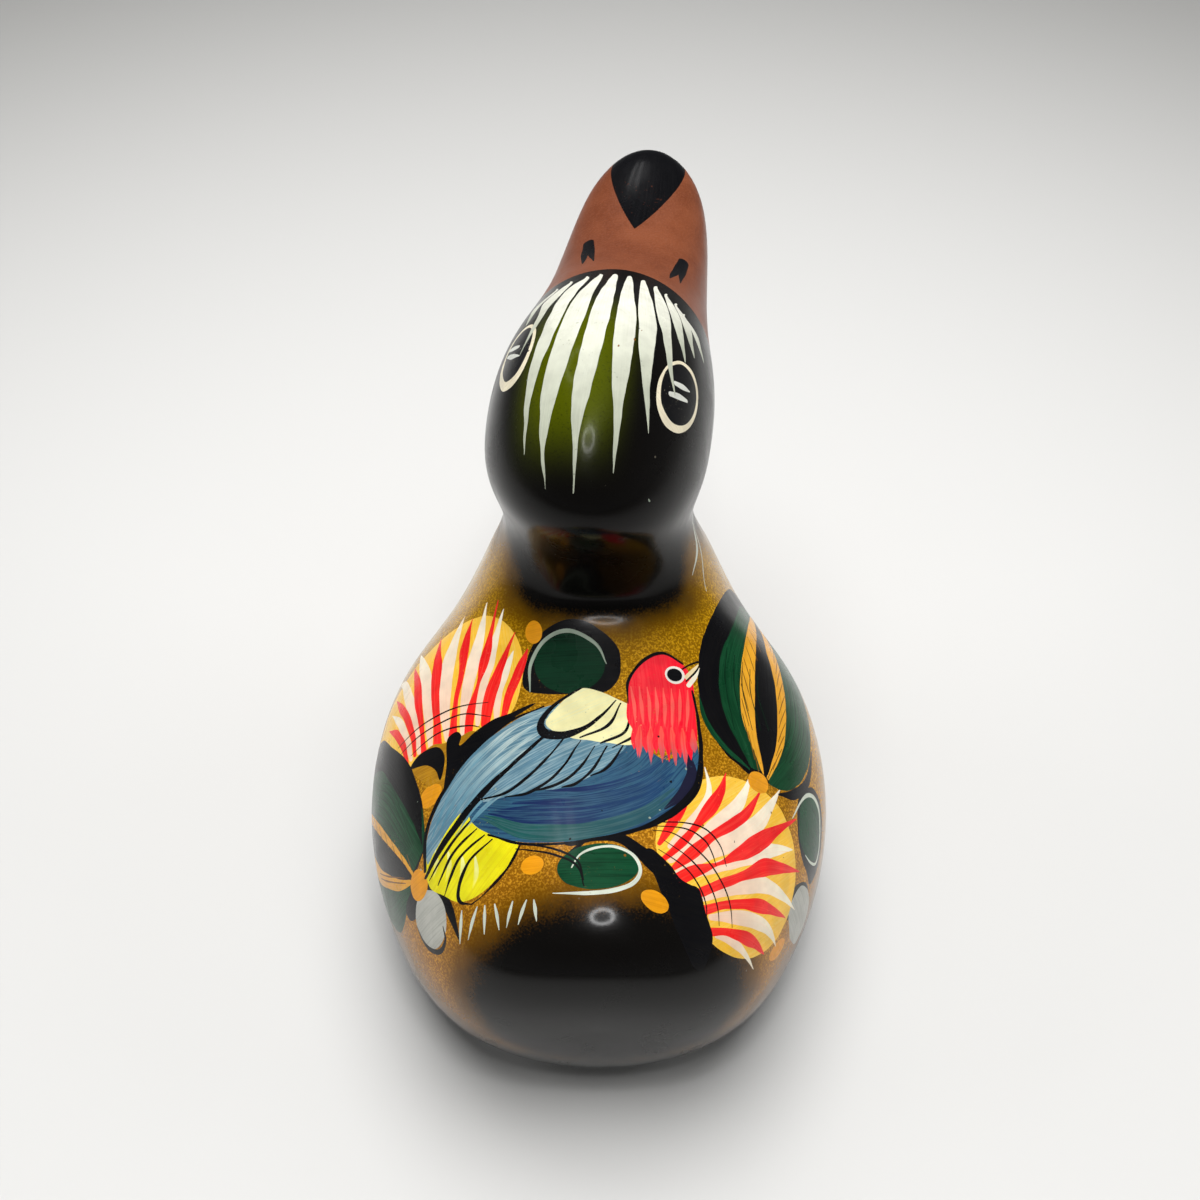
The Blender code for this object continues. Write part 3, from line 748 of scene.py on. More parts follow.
# The hidden front
# The breast is plainer than the back: on each side a small fan flower, one long leaf and a dot.
LEAF_EDGES_FRONT = (
    ((5, -9), (12, -13), (21, -9), (26, 0), (26, 11), (20, 21)),
    ((5, -9), (11, -10.5), (18, -6.6), (22.4, 1), (22.8, 11), (20, 21)),
    ((5, -9), (10.4, -8), (15.6, -3), (18.6, 4), (20.6, 12), (20, 21)),
    ((5, -9), (9.8, -6.6), (14.2, -1), (17.2, 6), (19.6, 13), (20, 21)),
    ((5, -9), (8.6, -4.6), (12, 1.6), (15.2, 9), (18.4, 15), (20, 21)),
)
for side in (-1, 1):
    breast = spot(0.40, 2.15 * side, -90 * side)
    edges = [[(side * x, y) for x, y in edge] for edge in LEAF_EDGES_FRONT]
    leaf(breast, edges, (shade_black, leaf_green, rib_ochre, leaf_green))
    oval(breast, 0, 5, 25, 23, sun_yellow)
    for k, angle in enumerate(np.radians(np.linspace(158, 22, 11))):
        reach = 14.5 + 2.0 * math.sin(angle) + (1.6, -1.0)[k % 2]
        tip_x, tip_y = reach * math.cos(angle), reach * math.sin(angle)
        root_x = 1.1 * (k - 5)
        ribbon(breast, [(root_x, -4.5, 0.8), (0.5 * (root_x + tip_x), 0.5 * tip_y - 1, 2.3),
                        (tip_x, tip_y, 0.15)],
               (petal_cream, petal_red)[k % 2])
    for rise in (0, 2.0, 4.0):
        ribbon(breast, [(-9, -4.4 + rise, 0.2), (0, -0.4 + rise, 0.42), (9, -4.4 + rise, 0.2)],
               hair_black, 0.03)
    for lean in (-1, 1):
        patch(breast, [(0.5 * lean, -3.4), (5.8 * lean, -3.6), (8.4 * lean, -6.6), (4.8 * lean, -6),
                       (lean, -9.4)],
              shade_black)
    oval(breast, 0, -8.6, 4.6, 4.2, ochre)


# The painted skin
# All strokes are laid on the skin in the order they were painted, each covering what is under it, and the
# skin's faces are cut along their edges. Every face carries the colour and the run of the stroke on top.
GROUND, BILL_LAYER, NAIL_LAYER = 0, 1, 2   # layer numbers of bare slip, of the bill's red and of its nail
JOIN = 1e-4                    # chart millimetres within which points are one


def lay_on_skin_tree():
    """Geometry Nodes that drop the cards' points on the skin and read where on the chart they land."""
    tree = bpy.data.node_groups.new("lay_paint_on_skin", "GeometryNodeTree")
    tree.interface.new_socket("Card", in_out="INPUT", socket_type="NodeSocketGeometry")
    tree.interface.new_socket("Skin", in_out="INPUT", socket_type="NodeSocketObject")
    tree.interface.new_socket("Drop", in_out="INPUT", socket_type="NodeSocketFloat")
    tree.interface.new_socket("Finish", in_out="INPUT", socket_type="NodeSocketMaterial")
    tree.interface.new_socket("Laid paint", in_out="OUTPUT", socket_type="NodeSocketGeometry")
    nodes, links = tree.nodes, tree.links
    given, laid = nodes.new("NodeGroupInput"), nodes.new("NodeGroupOutput")
    skin_info = nodes.new("GeometryNodeObjectInfo")
    place, fall = nodes.new("GeometryNodeInputNamedAttribute"), nodes.new("GeometryNodeInputNamedAttribute")
    ray, put = nodes.new("GeometryNodeRaycast"), nodes.new("GeometryNodeSetPosition")
    keep, flat = nodes.new("GeometryNodeStoreNamedAttribute"), nodes.new("GeometryNodeRealizeInstances")
    finish = nodes.new("GeometryNodeSetMaterial")
    for reader, name in ((place, "place"), (fall, "fall")):
        reader.data_type = "FLOAT_VECTOR"
        reader.inputs["Name"].default_value = name
    ray.data_type = keep.data_type = "FLOAT_VECTOR"
    keep.inputs["Name"].default_value = "place"
    links.new(given.outputs["Skin"], skin_info.inputs["Object"])
    links.new(skin_info.outputs["Geometry"], ray.inputs["Target Geometry"])
    links.new(place.outputs["Attribute"], ray.inputs["Attribute"])
    links.new(fall.outputs["Attribute"], ray.inputs["Ray Direction"])
    links.new(given.outputs["Drop"], ray.inputs["Ray Length"])
    links.new(given.outputs["Card"], keep.inputs["Geometry"])
    links.new(ray.outputs["Attribute"], keep.inputs["Value"])
    links.new(keep.outputs["Geometry"], put.inputs["Geometry"])
    links.new(ray.outputs["Hit Position"], put.inputs["Position"])
    links.new(put.outputs["Geometry"], flat.inputs["Geometry"])
    links.new(flat.outputs["Geometry"], finish.inputs["Geometry"])
    links.new(given.outputs["Finish"], finish.inputs["Material"])
    links.new(finish.outputs["Geometry"], laid.inputs["Laid paint"])
    return tree


def plain_mesh(name, points, faces):
    mesh = bpy.data.meshes.new(name)
    mesh.from_pydata([tuple(p) for p in points], [], faces)
    return mesh


def chart_of_cards():
    """The chart place of every outline point of every stroke."""
    grid_points = skin(share_at(grid_places[:, 0]), grid_places[:, 1] / ROUND)[0]
    quads = []
    for r in range(ROWS - 1):
        for c in range(COLUMNS - 1):
            k = r * COLUMNS + c
            quads.append((k, k + COLUMNS, k + COLUMNS + 1, k + 1))
    bare = bpy.data.objects.new("bare_skin", plain_mesh("bare_skin", grid_points, quads))
    place = bare.data.attributes.new("place", "FLOAT_VECTOR", "POINT")
    flat_places = np.zeros((len(grid_places), 3))
    flat_places[:, :2] = grid_places
    place.data.foreach_set("vector", flat_places.ravel())
    points, falls = [], []
    for stroke in strokes:
        at = stroke.at
        card = at.middle + DROP * MM * at.outward
        points.append(card + MM * (stroke.outline @ np.array([at.right, at.ahead])))
        falls.append(np.tile(-at.outward, (len(stroke.outline), 1)))
    cards = bpy.data.objects.new("cards", plain_mesh("cards", np.vstack(points), []))
    fall = cards.data.attributes.new("fall", "FLOAT_VECTOR", "POINT")
    fall.data.foreach_set("vector", np.vstack(falls).ravel())
    for thing in (bare, cards):
        bpy.context.scene.collection.objects.link(thing)
    lay = cards.modifiers.new("Lay paint", "NODES")
    lay.node_group = lay_on_skin_tree()
    sockets = {item.name: item.identifier for item in lay.node_group.interface.items_tree}
    lay[sockets["Skin"]] = bare
    lay[sockets["Drop"]] = 4 * DROP * MM
    laid = bpy.data.meshes.new_from_object(cards.evaluated_get(bpy.context.evaluated_depsgraph_get()))
    read = np.zeros(len(laid.vertices) * 3)
    laid.attributes["place"].data.foreach_get("vector", read)
    cards.modifiers.remove(lay)
    for thing in (cards, bare):
        shape = thing.data
        bpy.data.objects.remove(thing)
        bpy.data.meshes.remove(shape)
    bpy.data.meshes.remove(laid)
    return read.reshape(-1, 3)[:, :2]


def inside_ring(ring, xy):
    """Which points the closed ring winds round."""
    ends = np.roll(ring, -1, axis=0)
    x, y = xy[:, 0, None], xy[:, 1, None]
    lean = (ends[:, 0] - ring[:, 0]) * (y - ring[:, 1]) - (ends[:, 1] - ring[:, 1]) * (x - ring[:, 0])
    upward = (ring[:, 1] <= y) & (ends[:, 1] > y) & (lean > 0)
    downward = (ring[:, 1] > y) & (ends[:, 1] <= y) & (lean < 0)
    return upward.sum(axis=1) != downward.sum(axis=1)


card_places = chart_of_cards()
first_run, last_run = rows[1], rows[-2]
rings = [np.array([(first_run, -SEAM), (last_run, -SEAM), (last_run, SEAM), (first_run, SEAM)])]
layers = [None]                # what each ring is: None for the whole chart's slip, or a band, or a stroke
for band in bands:
    edge = [(run_at(s), a * ROUND) for s, a in zip(band.shares, band.angles)]
    rings.append(np.array(edge + [(last_run, SEAM), (last_run, -SEAM)]))
    layers.append(band)
begin = 0
for stroke in strokes:
    rings.append(card_places[begin:begin + len(stroke.outline)])
    begin += len(stroke.outline)
    layers.append(stroke)

bare_places = grid_places[(grid_places[:, 0] > rows[0]) & (grid_places[:, 0] < rows[-1])]
chart_edges = []
begin = len(bare_places)
for ring in rings:
    chart_edges += [(begin + k, begin + (k + 1) % len(ring)) for k in range(len(ring))]
    begin += len(ring)
cut = delaunay_2d_cdt([Vector(p) for p in np.vstack([bare_places, *rings])], chart_edges, [], 0, JOIN, True)
cut_points = np.array([tuple(p) for p in cut[0]])
cut_faces = np.array(cut[2])
centres = cut_points[cut_faces].mean(axis=1)
tops, unders = np.full(len(cut_faces), GROUND), np.full(len(cut_faces), GROUND)
for number, ring in enumerate(rings[1:], start=1):
    near = np.flatnonzero(((centres > ring.min(axis=0)) & (centres < ring.max(axis=0))).all(axis=1))
    covered = near[inside_ring(ring, centres[near])]
    unders[covered] = tops[covered]
    tops[covered] = number

# The chart's long edges meet along the belly, and its short ends close on the tail and the bill's tip
on_seam = cut_points[:, 1] > SEAM - JOIN
seam_index = {round(run, 3): k for k, (run, side) in enumerate(cut_points) if side < JOIN - SEAM}
same_as = np.arange(len(cut_points))
for k in np.flatnonzero(on_seam):
    same_as[k] = seam_index[round(cut_points[k, 0], 3)]
tail_pole, bill_pole = len(cut_points), len(cut_points) + 1
places = np.vstack([cut_points, [[0, 0], [RUN, 0]]])
same_as = np.append(same_as, [tail_pole, bill_pole])
caps = []
for pole, ring_run in ((tail_pole, first_run), (bill_pole, last_run)):
    ring = np.flatnonzero(np.abs(cut_points[:, 0] - ring_run) < JOIN)
    ring = ring[np.argsort(cut_points[ring, 1])]
    for a, b in zip(ring, ring[1:]):
        caps.append((a, pole, b) if pole == bill_pole else (b, pole, a))
caps = np.array(caps)
cap_places = places[caps]
cap_places[:, 1, 1] = cap_places[:, [0, 2], 1].mean(axis=1)
cap_tops = np.where(caps[:, 1] == bill_pole, NAIL_LAYER, GROUND)
faces = same_as[np.vstack([cut_faces, caps])]
corner_places = np.vstack([places[cut_faces], cap_places])
tops = np.concatenate([tops, cap_tops])
unders = np.concatenate([unders, np.full(len(caps), GROUND)])

used = np.unique(faces)
renumber = np.full(len(places), -1)
renumber[used] = np.arange(len(used))
faces = renumber[faces]
places = places[used]
points, normals = skin(share_at(places[:, 0]), places[:, 1] / ROUND)
is_pole = (places[:, 0] < JOIN) | (places[:, 0] > RUN - JOIN)
for k in np.flatnonzero(is_pole):
    around = np.unique(faces[(faces == k).any(axis=1)])
    normals[k] = unit(normals[around[around != k]].sum(axis=0))
low, high = (np.array(corner) for corner in cad_box)
points = np.clip(points, low, high)


def along_flow(flow, xy):
    """How far along a flow line each point is, how far to its side, and the line's whole length."""
    starts, steps = flow[:-1], np.diff(flow, axis=0)
    lengths = np.maximum(np.linalg.norm(steps, axis=1), 1e-6)
    before = np.concatenate([[0], np.cumsum(lengths)])
    aside = xy[:, None, :] - starts
    share = np.clip((aside * steps).sum(axis=2) / lengths ** 2, 0, 1)
    off = aside - share[:, :, None] * steps
    nearest = np.argmin((off ** 2).sum(axis=2), axis=1)
    every = np.arange(len(xy))
    step, off = steps[nearest] / lengths[nearest, None], off[every, nearest]
    side = step[:, 0] * off[:, 1] - step[:, 1] * off[:, 0]
    return before[nearest] + share[every, nearest] * lengths[nearest], side, before[-1]


def smooth(value, low, high):
    t = np.clip((value - low) / (high - low), 0, 1)
    return t * t * (3 - 2 * t)


TIP_BLEND, DRYING = (0.1, 0.95), (0.55, 1.0)   # shares of a stroke where its colour turns and it dries
STREAK_JUMP = 7.3              # keeps the streaks of one stroke unlike those of the next


def paint_corners(owner_of_face):
    """Colour, streak colour and brush run of each face corner for the stroke that owns the face."""
    colour = np.zeros((len(faces), 3, 4))
    streak = np.zeros((len(faces), 3, 4))
    brush = np.zeros((len(faces), 3, 3))
    for number, layer in enumerate(layers):
        mine = np.flatnonzero(owner_of_face == number)
        if layer is None or not len(mine):
            continue
        paint = layer.paint
        if isinstance(layer, Band):
            along, aside = corner_places[mine].reshape(-1, 2).T
            whole = RUN
        else:
            from_spot = (points[faces[mine]].reshape(-1, 3) - layer.at.middle) / MM
            xy = np.stack([from_spot @ layer.at.right, from_spot @ layer.at.ahead], axis=1)
            along, aside, whole = along_flow(layer.flow, xy)
        share = smooth(along / whole, *TIP_BLEND)[:, None]
        tint = (1 - share) * np.array(paint.colour) + share * np.array(paint.tip)
        cover = 1 - paint.dry * smooth(along / whole, *DRYING)
        colour[mine] = np.hstack([tint, cover[:, None]]).reshape(-1, 3, 4)
        streak[mine] = (*paint.streak, paint.streaks)
        brush[mine] = np.stack([along, aside, np.full(len(along), STREAK_JUMP * number)],
                               axis=1).reshape(-1, 3, 3)
    return colour, streak, brush


top_colour, top_streak, top_brush = paint_corners(tops)
under_colour = paint_corners(unders)[0]

# Where black slip was blown over the gold: on the rump and over the whole head and nape. Low on the body
# the skin also turns black towards the floor
RUMP = np.array([-0.004, 0.092, 0.052])
RUMP_SHAPE = (0.80, 1.0, 1.0)              # the rump's dark patch is wider than it is high
RUMP_FADE = (0.020, 0.046)                 # metres from its middle
BELLY_FADE = (0.005, 0.052)                # metres above the floor
NAPE_FADE = (0.205, 0.365)                 # loft shares on the nape
SIDE_LIFT, THROAT_LIFT = 0.21, 0.05        # how much later it begins at the sides, and again at the throat
# An olive sheen on the crown, in millimetres from the middle of the head
head_middle = spot(0.66, 0.02, -9)
OLIVE_MIDDLE = (-3.0, 3.0)
OLIVE_FADE_ACROSS, OLIVE_FADE_ALONG = (3.0, 19.0), (6.0, 34.0)
HEAD_SHARE, CROWN_TURN = 0.5, 1.8          # it begins past that loft share, within that angle of the top
shares = share_at(places[:, 0])
turns = np.abs(places[:, 1]) / ROUND
from_rump = np.linalg.norm((points - RUMP) * RUMP_SHAPE, axis=1)
smoke = np.maximum.reduce([
    1 - smooth(from_rump, *RUMP_FADE),
    1 - smooth(points[:, 2], *BELLY_FADE),
    smooth(shares - SIDE_LIFT * smooth(turns, 0.0, 1.15) - THROAT_LIFT * smooth(turns, 1.2, 2.6),
           *NAPE_FADE),
])
from_head = (points - head_middle.middle) / MM
across_head, along_head = from_head @ head_middle.right, from_head @ head_middle.ahead
olive = 1 - smooth(np.abs(across_head - OLIVE_MIDDLE[0]), *OLIVE_FADE_ACROSS)
olive *= 1 - smooth(np.abs(along_head - OLIVE_MIDDLE[1]), *OLIVE_FADE_ALONG)
olive *= (shares > HEAD_SHARE) & (turns < CROWN_TURN)
warmth = smooth(points[:, 1], -0.03, 0.06)

skin_mesh = plain_mesh("duck_figurine", points, faces.tolist())
skin_mesh.shade_smooth()
for name, values in (("paint", top_colour), ("streak", top_streak), ("under", under_colour)):
    skin_mesh.attributes.new(name, "FLOAT_COLOR", "CORNER").data.foreach_set("color", values.ravel())
skin_mesh.attributes.new("brush", "FLOAT_VECTOR", "CORNER").data.foreach_set("vector", top_brush.ravel())
slip = np.stack([smoke, olive, warmth, np.ones(len(points))], axis=1)
skin_mesh.attributes.new("slip", "FLOAT_COLOR", "POINT").data.foreach_set("color", slip.ravel())
chart_map = skin_mesh.uv_layers.new(name="OFBake")
uv = corner_places.reshape(-1, 2) / (RUN, 2 * SEAM) + (0, 0.5)
MARGIN = 0.004                 # share of the map that is left free along each side
chart_map.data.foreach_set("uv", (MARGIN + (1 - 2 * MARGIN) * uv).ravel())
skin_mesh.normals_split_custom_set_from_vertices(normals)


def group_nodes(name, inputs, outputs):
    """An empty shader group with named sockets, given as (name, kind, value), and its nodes."""
    group = bpy.data.node_groups.new(name, "ShaderNodeTree")
    for socket_name, kind, value in inputs:
        socket = group.interface.new_socket(socket_name, in_out="INPUT", socket_type="NodeSocket" + kind)
        socket.default_value = value
    for socket_name, kind in outputs:
        group.interface.new_socket(socket_name, in_out="OUTPUT", socket_type="NodeSocket" + kind)
    return group, group.nodes.new("NodeGroupInput"), group.nodes.new("NodeGroupOutput")


def plug(tree, target, value):
    """Joins an output to a socket, or sets the socket to a plain value."""
    if isinstance(value, bpy.types.NodeSocket):
        tree.links.new(value, target)
    else:
        target.default_value = value


def maths(tree, operation, first, second):
    node = tree.nodes.new("ShaderNodeMath")
    node.operation = operation
    plug(tree, node.inputs[0], first)
    plug(tree, node.inputs[1], second)
    return node.outputs[0]


def between(tree, value, low, high, to_low=0.0, to_high=1.0):
    """Smooth step of a value from low to high."""
    node = tree.nodes.new("ShaderNodeMapRange")
    node.interpolation_type = "SMOOTHSTEP"
    for socket, given in zip(node.inputs, (value, low, high, to_low, to_high)):
        plug(tree, socket, given)
    return node.outputs[0]


def blend(tree, share, first, second):
    node = tree.nodes.new("ShaderNodeMix")
    node.data_type = "RGBA"
    plug(tree, node.inputs[0], share)
    for socket, colour in zip(node.inputs[6:8], (first, second)):
        plug(tree, socket, colour if isinstance(colour, bpy.types.NodeSocket) else (*colour, 1))
    return node.outputs[2]


def noise(tree, vector, scale, detail=2.0, roughness=0.5, distortion=0.0):
    node = tree.nodes.new("ShaderNodeTexNoise")
    plug(tree, node.inputs["Vector"], vector)
    for name, value in (("Scale", scale), ("Detail", detail), ("Roughness", roughness),
                        ("Distortion", distortion)):
        plug(tree, node.inputs[name], value)
    return node.outputs["Fac"]


def attribute(tree, name):
    node = tree.nodes.new("ShaderNodeAttribute")
    node.attribute_name = name
    return node


def object_place(tree):
    return tree.nodes.new("ShaderNodeTexCoord").outputs["Object"]


NAPE_HEIGHT = (0.078, 0.100)   # metres above the floor over which the clear coat thins towards the head


def slip_ground_group():
    """Gold-brown slip full of fine metallic grains, with black slip blown over it in a fine spray."""
    group, given, out = group_nodes(
        "slip_ground",
        [("Grain size", "Float", 0.00055), ("Patch size", "Float", 0.009)],
        [("Color", "Color"), ("Metal", "Float"), ("Grain", "Float"), ("Softness", "Float")])
    place = object_place(group)
    fine = noise(group, place, maths(group, "DIVIDE", 1.0, given.outputs["Grain size"]), 2.0, 0.6)
    broad = noise(group, place, maths(group, "DIVIDE", 1.0, given.outputs["Patch size"]), 3.0, 0.55)
    slip_marks = group.nodes.new("ShaderNodeSeparateColor")
    group.links.new(attribute(group, "slip").outputs["Color"], slip_marks.inputs[0])
    smoke_mark, olive_mark, warm_mark = slip_marks.outputs
    glint = between(group, fine, 0.44, 0.66)
    shade = between(group, broad, 0.3, 0.7)
    gold = blend(group, glint, (0.310, 0.155, 0.0010), (0.78, 0.43, 0.0060))
    brown = blend(group, glint, (0.310, 0.118, 0.0050), (0.76, 0.35, 0.0200))
    gold = blend(group, warm_mark, gold, brown)
    gold = blend(group, maths(group, "MULTIPLY", shade, 0.25), gold, (0.18, 0.080, 0.0020))
    dusk = between(group, smoke_mark, 0.0, 0.4, 0.0, 0.75)
    gold = blend(group, dusk, gold, (0.120, 0.050, 0.0010))
    spray = maths(group, "MULTIPLY", maths(group, "SUBTRACT", fine, 0.5), 0.5)
    spray = maths(group, "ADD", smoke_mark, spray)
    spray = maths(group, "ADD", spray, maths(group, "MULTIPLY", maths(group, "SUBTRACT", broad, 0.5), 0.35))
    black_share = between(group, spray, 0.22, 0.78)
    colour = blend(group, black_share, gold, (0.0045, 0.0040, 0.0036))
    olive_share = maths(group, "MULTIPLY", between(group, olive_mark, 0.0, 1.0),
                        between(group, fine, 0.05, 0.50))
    colour = blend(group, olive_share, colour, (0.082, 0.100, 0.0008))
    bare = maths(group, "SUBTRACT", 1.0, black_share)
    metal = maths(group, "MULTIPLY", maths(group, "MAXIMUM", bare, olive_share), 0.16)
    height = group.nodes.new("ShaderNodeSeparateXYZ")
    group.links.new(place, height.inputs[0])
    softness = between(group, height.outputs[2], *NAPE_HEIGHT)
    for name, value in (("Color", colour), ("Metal", metal), ("Grain", fine), ("Softness", softness)):
        group.links.new(value, out.inputs[name])
    return group


def lacquer_group():
    """The thin hand-laid lacquer: its gloss comes and goes a little, with dust and pinholes in it."""
    group, given, out = group_nodes(
        "hand_lacquer",
        [("Gloss low", "Float", 0.12), ("Gloss high", "Float", 0.26), ("Dust", "Float", 0.5)],
        [("Roughness", "Float"), ("Height", "Float"), ("Dust mask", "Float")])
    place = object_place(group)
    wipe = noise(group, place, 70.0, 4.0, 0.6, 0.4)
    orange_peel = noise(group, place, 900.0, 2.0, 0.5)
    grains = group.nodes.new("ShaderNodeTexVoronoi")
    group.links.new(place, grains.inputs["Vector"])
    grains.inputs["Scale"].default_value = 260.0
    rare = noise(group, place, 95.0, 1.0)
    size = maths(group, "MULTIPLY", between(group, rare, 0.60, 0.72), 0.11)
    speck = between(group, grains.outputs["Distance"], 0.0, size, 1.0, 0.0)
    speck = maths(group, "MULTIPLY", speck, given.outputs["Dust"])
    rough = between(group, wipe, 0.3, 0.7, given.outputs["Gloss low"], given.outputs["Gloss high"])
    group.links.new(maths(group, "ADD", rough, maths(group, "MULTIPLY", speck, 0.3)),
                    out.inputs["Roughness"])
    height = maths(group, "ADD", maths(group, "MULTIPLY", orange_peel, 0.35),
                   maths(group, "MULTIPLY", speck, 0.7))
    group.links.new(height, out.inputs["Height"])
    group.links.new(speck, out.inputs["Dust mask"])
    return group


def brush_group():
    """Brush marks: streaks that run with each stroke and show a second tone where the paint is thin."""
    group, given, out = group_nodes(
        "brush_marks",
        [("Streak length", "Float", 14.0), ("Bristle width", "Float", 0.38), ("Wear", "Float", 0.5)],
        [("Color", "Color"), ("Cover", "Float"), ("Height", "Float")])
    run = group.nodes.new("ShaderNodeSeparateXYZ")
    group.links.new(attribute(group, "brush").outputs["Vector"], run.inputs[0])
    bristles = group.nodes.new("ShaderNodeCombineXYZ")
    plug(group, bristles.inputs[0], maths(group, "DIVIDE", run.outputs[0], given.outputs["Streak length"]))
    plug(group, bristles.inputs[1], maths(group, "DIVIDE", run.outputs[1], given.outputs["Bristle width"]))
    plug(group, bristles.inputs[2], run.outputs[2])
    marks = noise(group, bristles.outputs[0], 1.0, 4.0, 0.62)
    top, streak, under = (attribute(group, name) for name in ("paint", "streak", "under"))
    place = object_place(group)
    thin = maths(group, "MULTIPLY", between(group, marks, 0.42, 0.66), streak.outputs["Alpha"])
    colour = blend(group, thin, top.outputs["Color"], streak.outputs["Color"])
    cloud = between(group, noise(group, place, 210.0, 3.0), 0.25, 0.75, 0.90, 1.08)
    tone = group.nodes.new("ShaderNodeVectorMath")
    tone.operation = "SCALE"
    group.links.new(colour, tone.inputs[0])
    group.links.new(cloud, tone.inputs["Scale"])
    open_paint = maths(group, "SUBTRACT", 1.0, top.outputs["Alpha"])
    worn = maths(group, "MULTIPLY", given.outputs["Wear"],
                 between(group, noise(group, place, 60.0), 0.45, 0.7))
    worn = maths(group, "MULTIPLY", between(group, noise(group, place, 1500.0, 2.0), 0.66, 0.74), worn)
    dry = between(group, maths(group, "ADD", marks, maths(group, "MULTIPLY", open_paint, 0.62)), 0.78, 0.88)
    through = maths(group, "MAXIMUM", dry, worn)
    shown = blend(group, maths(group, "MULTIPLY", through, under.outputs["Alpha"]), tone.outputs[0],
                  under.outputs["Color"])
    bare = maths(group, "MULTIPLY", through, maths(group, "SUBTRACT", 1.0, under.outputs["Alpha"]))
    group.links.new(shown, out.inputs["Color"])
    group.links.new(maths(group, "SUBTRACT", 1.0, bare), out.inputs["Cover"])
    group.links.new(marks, out.inputs["Height"])
    return group


slip_ground, hand_lacquer, brush_marks = slip_ground_group(), lacquer_group(), brush_group()


def use_group(tree, group, **values):
    node = tree.nodes.new("ShaderNodeGroup")
    node.node_tree = group
    for name, value in values.items():
        plug(tree, node.inputs[name.replace("_", " ")], value)
    return node


def finish_material(name, coat, coat_roughness, base_shine):
    """A lacquered material to be filled in: its tree and its Principled shader."""
    material = bpy.data.materials.new(name)
    material.use_nodes = True
    shader = material.node_tree.nodes["Principled BSDF"]
    shader.inputs["Specular IOR Level"].default_value = base_shine
    shader.inputs["Coat Weight"].default_value = coat
    shader.inputs["Coat Roughness"].default_value = coat_roughness
    shader.inputs["Coat IOR"].default_value = 1.5
    return material, material.node_tree, shader


def bump(tree, shader, height, depth):
    node = tree.nodes.new("ShaderNodeBump")
    node.inputs["Distance"].default_value = depth
    tree.links.new(height, node.inputs["Height"])
    tree.links.new(node.outputs[0], shader.inputs["Normal"])


COAT, HEAD_COAT = 0.36, 0.12   # weight of the clear coat on the body, and on the bare slip of the head


def gold_slip_material():
    material, tree, shader = finish_material("gold_and_black_slip", COAT, 0.10, 0.10)
    ground = use_group(tree, slip_ground)
    lacquer = use_group(tree, hand_lacquer, Gloss_low=0.16, Gloss_high=0.30, Dust=0.8)
    colour = blend(tree, maths(tree, "MULTIPLY", lacquer.outputs["Dust mask"], 0.5),
                   ground.outputs["Color"], (0.30, 0.27, 0.20))
    plug(tree, shader.inputs["Base Color"], colour)
    plug(tree, shader.inputs["Metallic"], ground.outputs["Metal"])
    plug(tree, shader.inputs["Roughness"], lacquer.outputs["Roughness"])
    plug(tree, shader.inputs["Coat Weight"],
         between(tree, ground.outputs["Softness"], 0.0, 1.0, COAT, HEAD_COAT))
    height = maths(tree, "ADD", lacquer.outputs["Height"],
                   maths(tree, "MULTIPLY", ground.outputs["Grain"], 0.4))
    bump(tree, shader, height, 0.00003)
    return material


def brushed_paint_material():
    material, tree, shader = finish_material("brushed_paint", COAT, 0.13, 0.12)
    ground = use_group(tree, slip_ground)
    strokes_laid = use_group(tree, brush_marks)
    lacquer = use_group(tree, hand_lacquer, Gloss_low=0.24, Gloss_high=0.38, Dust=0.5)
    cover = strokes_laid.outputs["Cover"]
    plug(tree, shader.inputs["Base Color"],
         blend(tree, cover, ground.outputs["Color"], strokes_laid.outputs["Color"]))
    bare = maths(tree, "SUBTRACT", 1.0, cover)
    plug(tree, shader.inputs["Metallic"], maths(tree, "MULTIPLY", bare, ground.outputs["Metal"]))
    plug(tree, shader.inputs["Roughness"], lacquer.outputs["Roughness"])
    height = maths(tree, "ADD", lacquer.outputs["Height"], strokes_laid.outputs["Height"])
    bump(tree, shader, height, 0.00005)
    return material


def terracotta_material():
    material, tree, shader = finish_material("burnished_terracotta", 0.45, 0.38, 0.24)
    place = object_place(tree)
    lacquer = use_group(tree, hand_lacquer, Gloss_low=0.30, Gloss_high=0.44, Dust=0.5)
    cloudy = between(tree, noise(tree, place, 85.0, 4.0, 0.6), 0.3, 0.7)
    grain = between(tree, noise(tree, place, 1700.0, 2.0, 0.6), 0.4, 0.7)
    colour = blend(tree, cloudy, (0.165, 0.042, 0.016), (0.232, 0.066, 0.027))
    colour = blend(tree, maths(tree, "MULTIPLY", grain, 0.35), colour, (0.30, 0.098, 0.045))
    plug(tree, shader.inputs["Base Color"], colour)
    plug(tree, shader.inputs["Roughness"], lacquer.outputs["Roughness"])
    bump(tree, shader, maths(tree, "ADD", lacquer.outputs["Height"], grain), 0.00004)
    return material


for material in (gold_slip_material(), brushed_paint_material(), terracotta_material()):
    skin_mesh.materials.append(material)
SLIP, PAINTED, TERRACOTTA = range(3)
finish_of_layer = np.array([SLIP if layer is None else PAINTED for layer in layers])
finish_of_layer[BILL_LAYER] = TERRACOTTA
skin_mesh.polygons.foreach_set("material_index", finish_of_layer[tops].astype(np.int32))
skin_mesh.update()

duck = bpy.data.objects.new("duck_painted_skin", skin_mesh)
bpy.context.scene.collection.objects.link(duck)
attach(duck, "root")
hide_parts("duck_figurine")
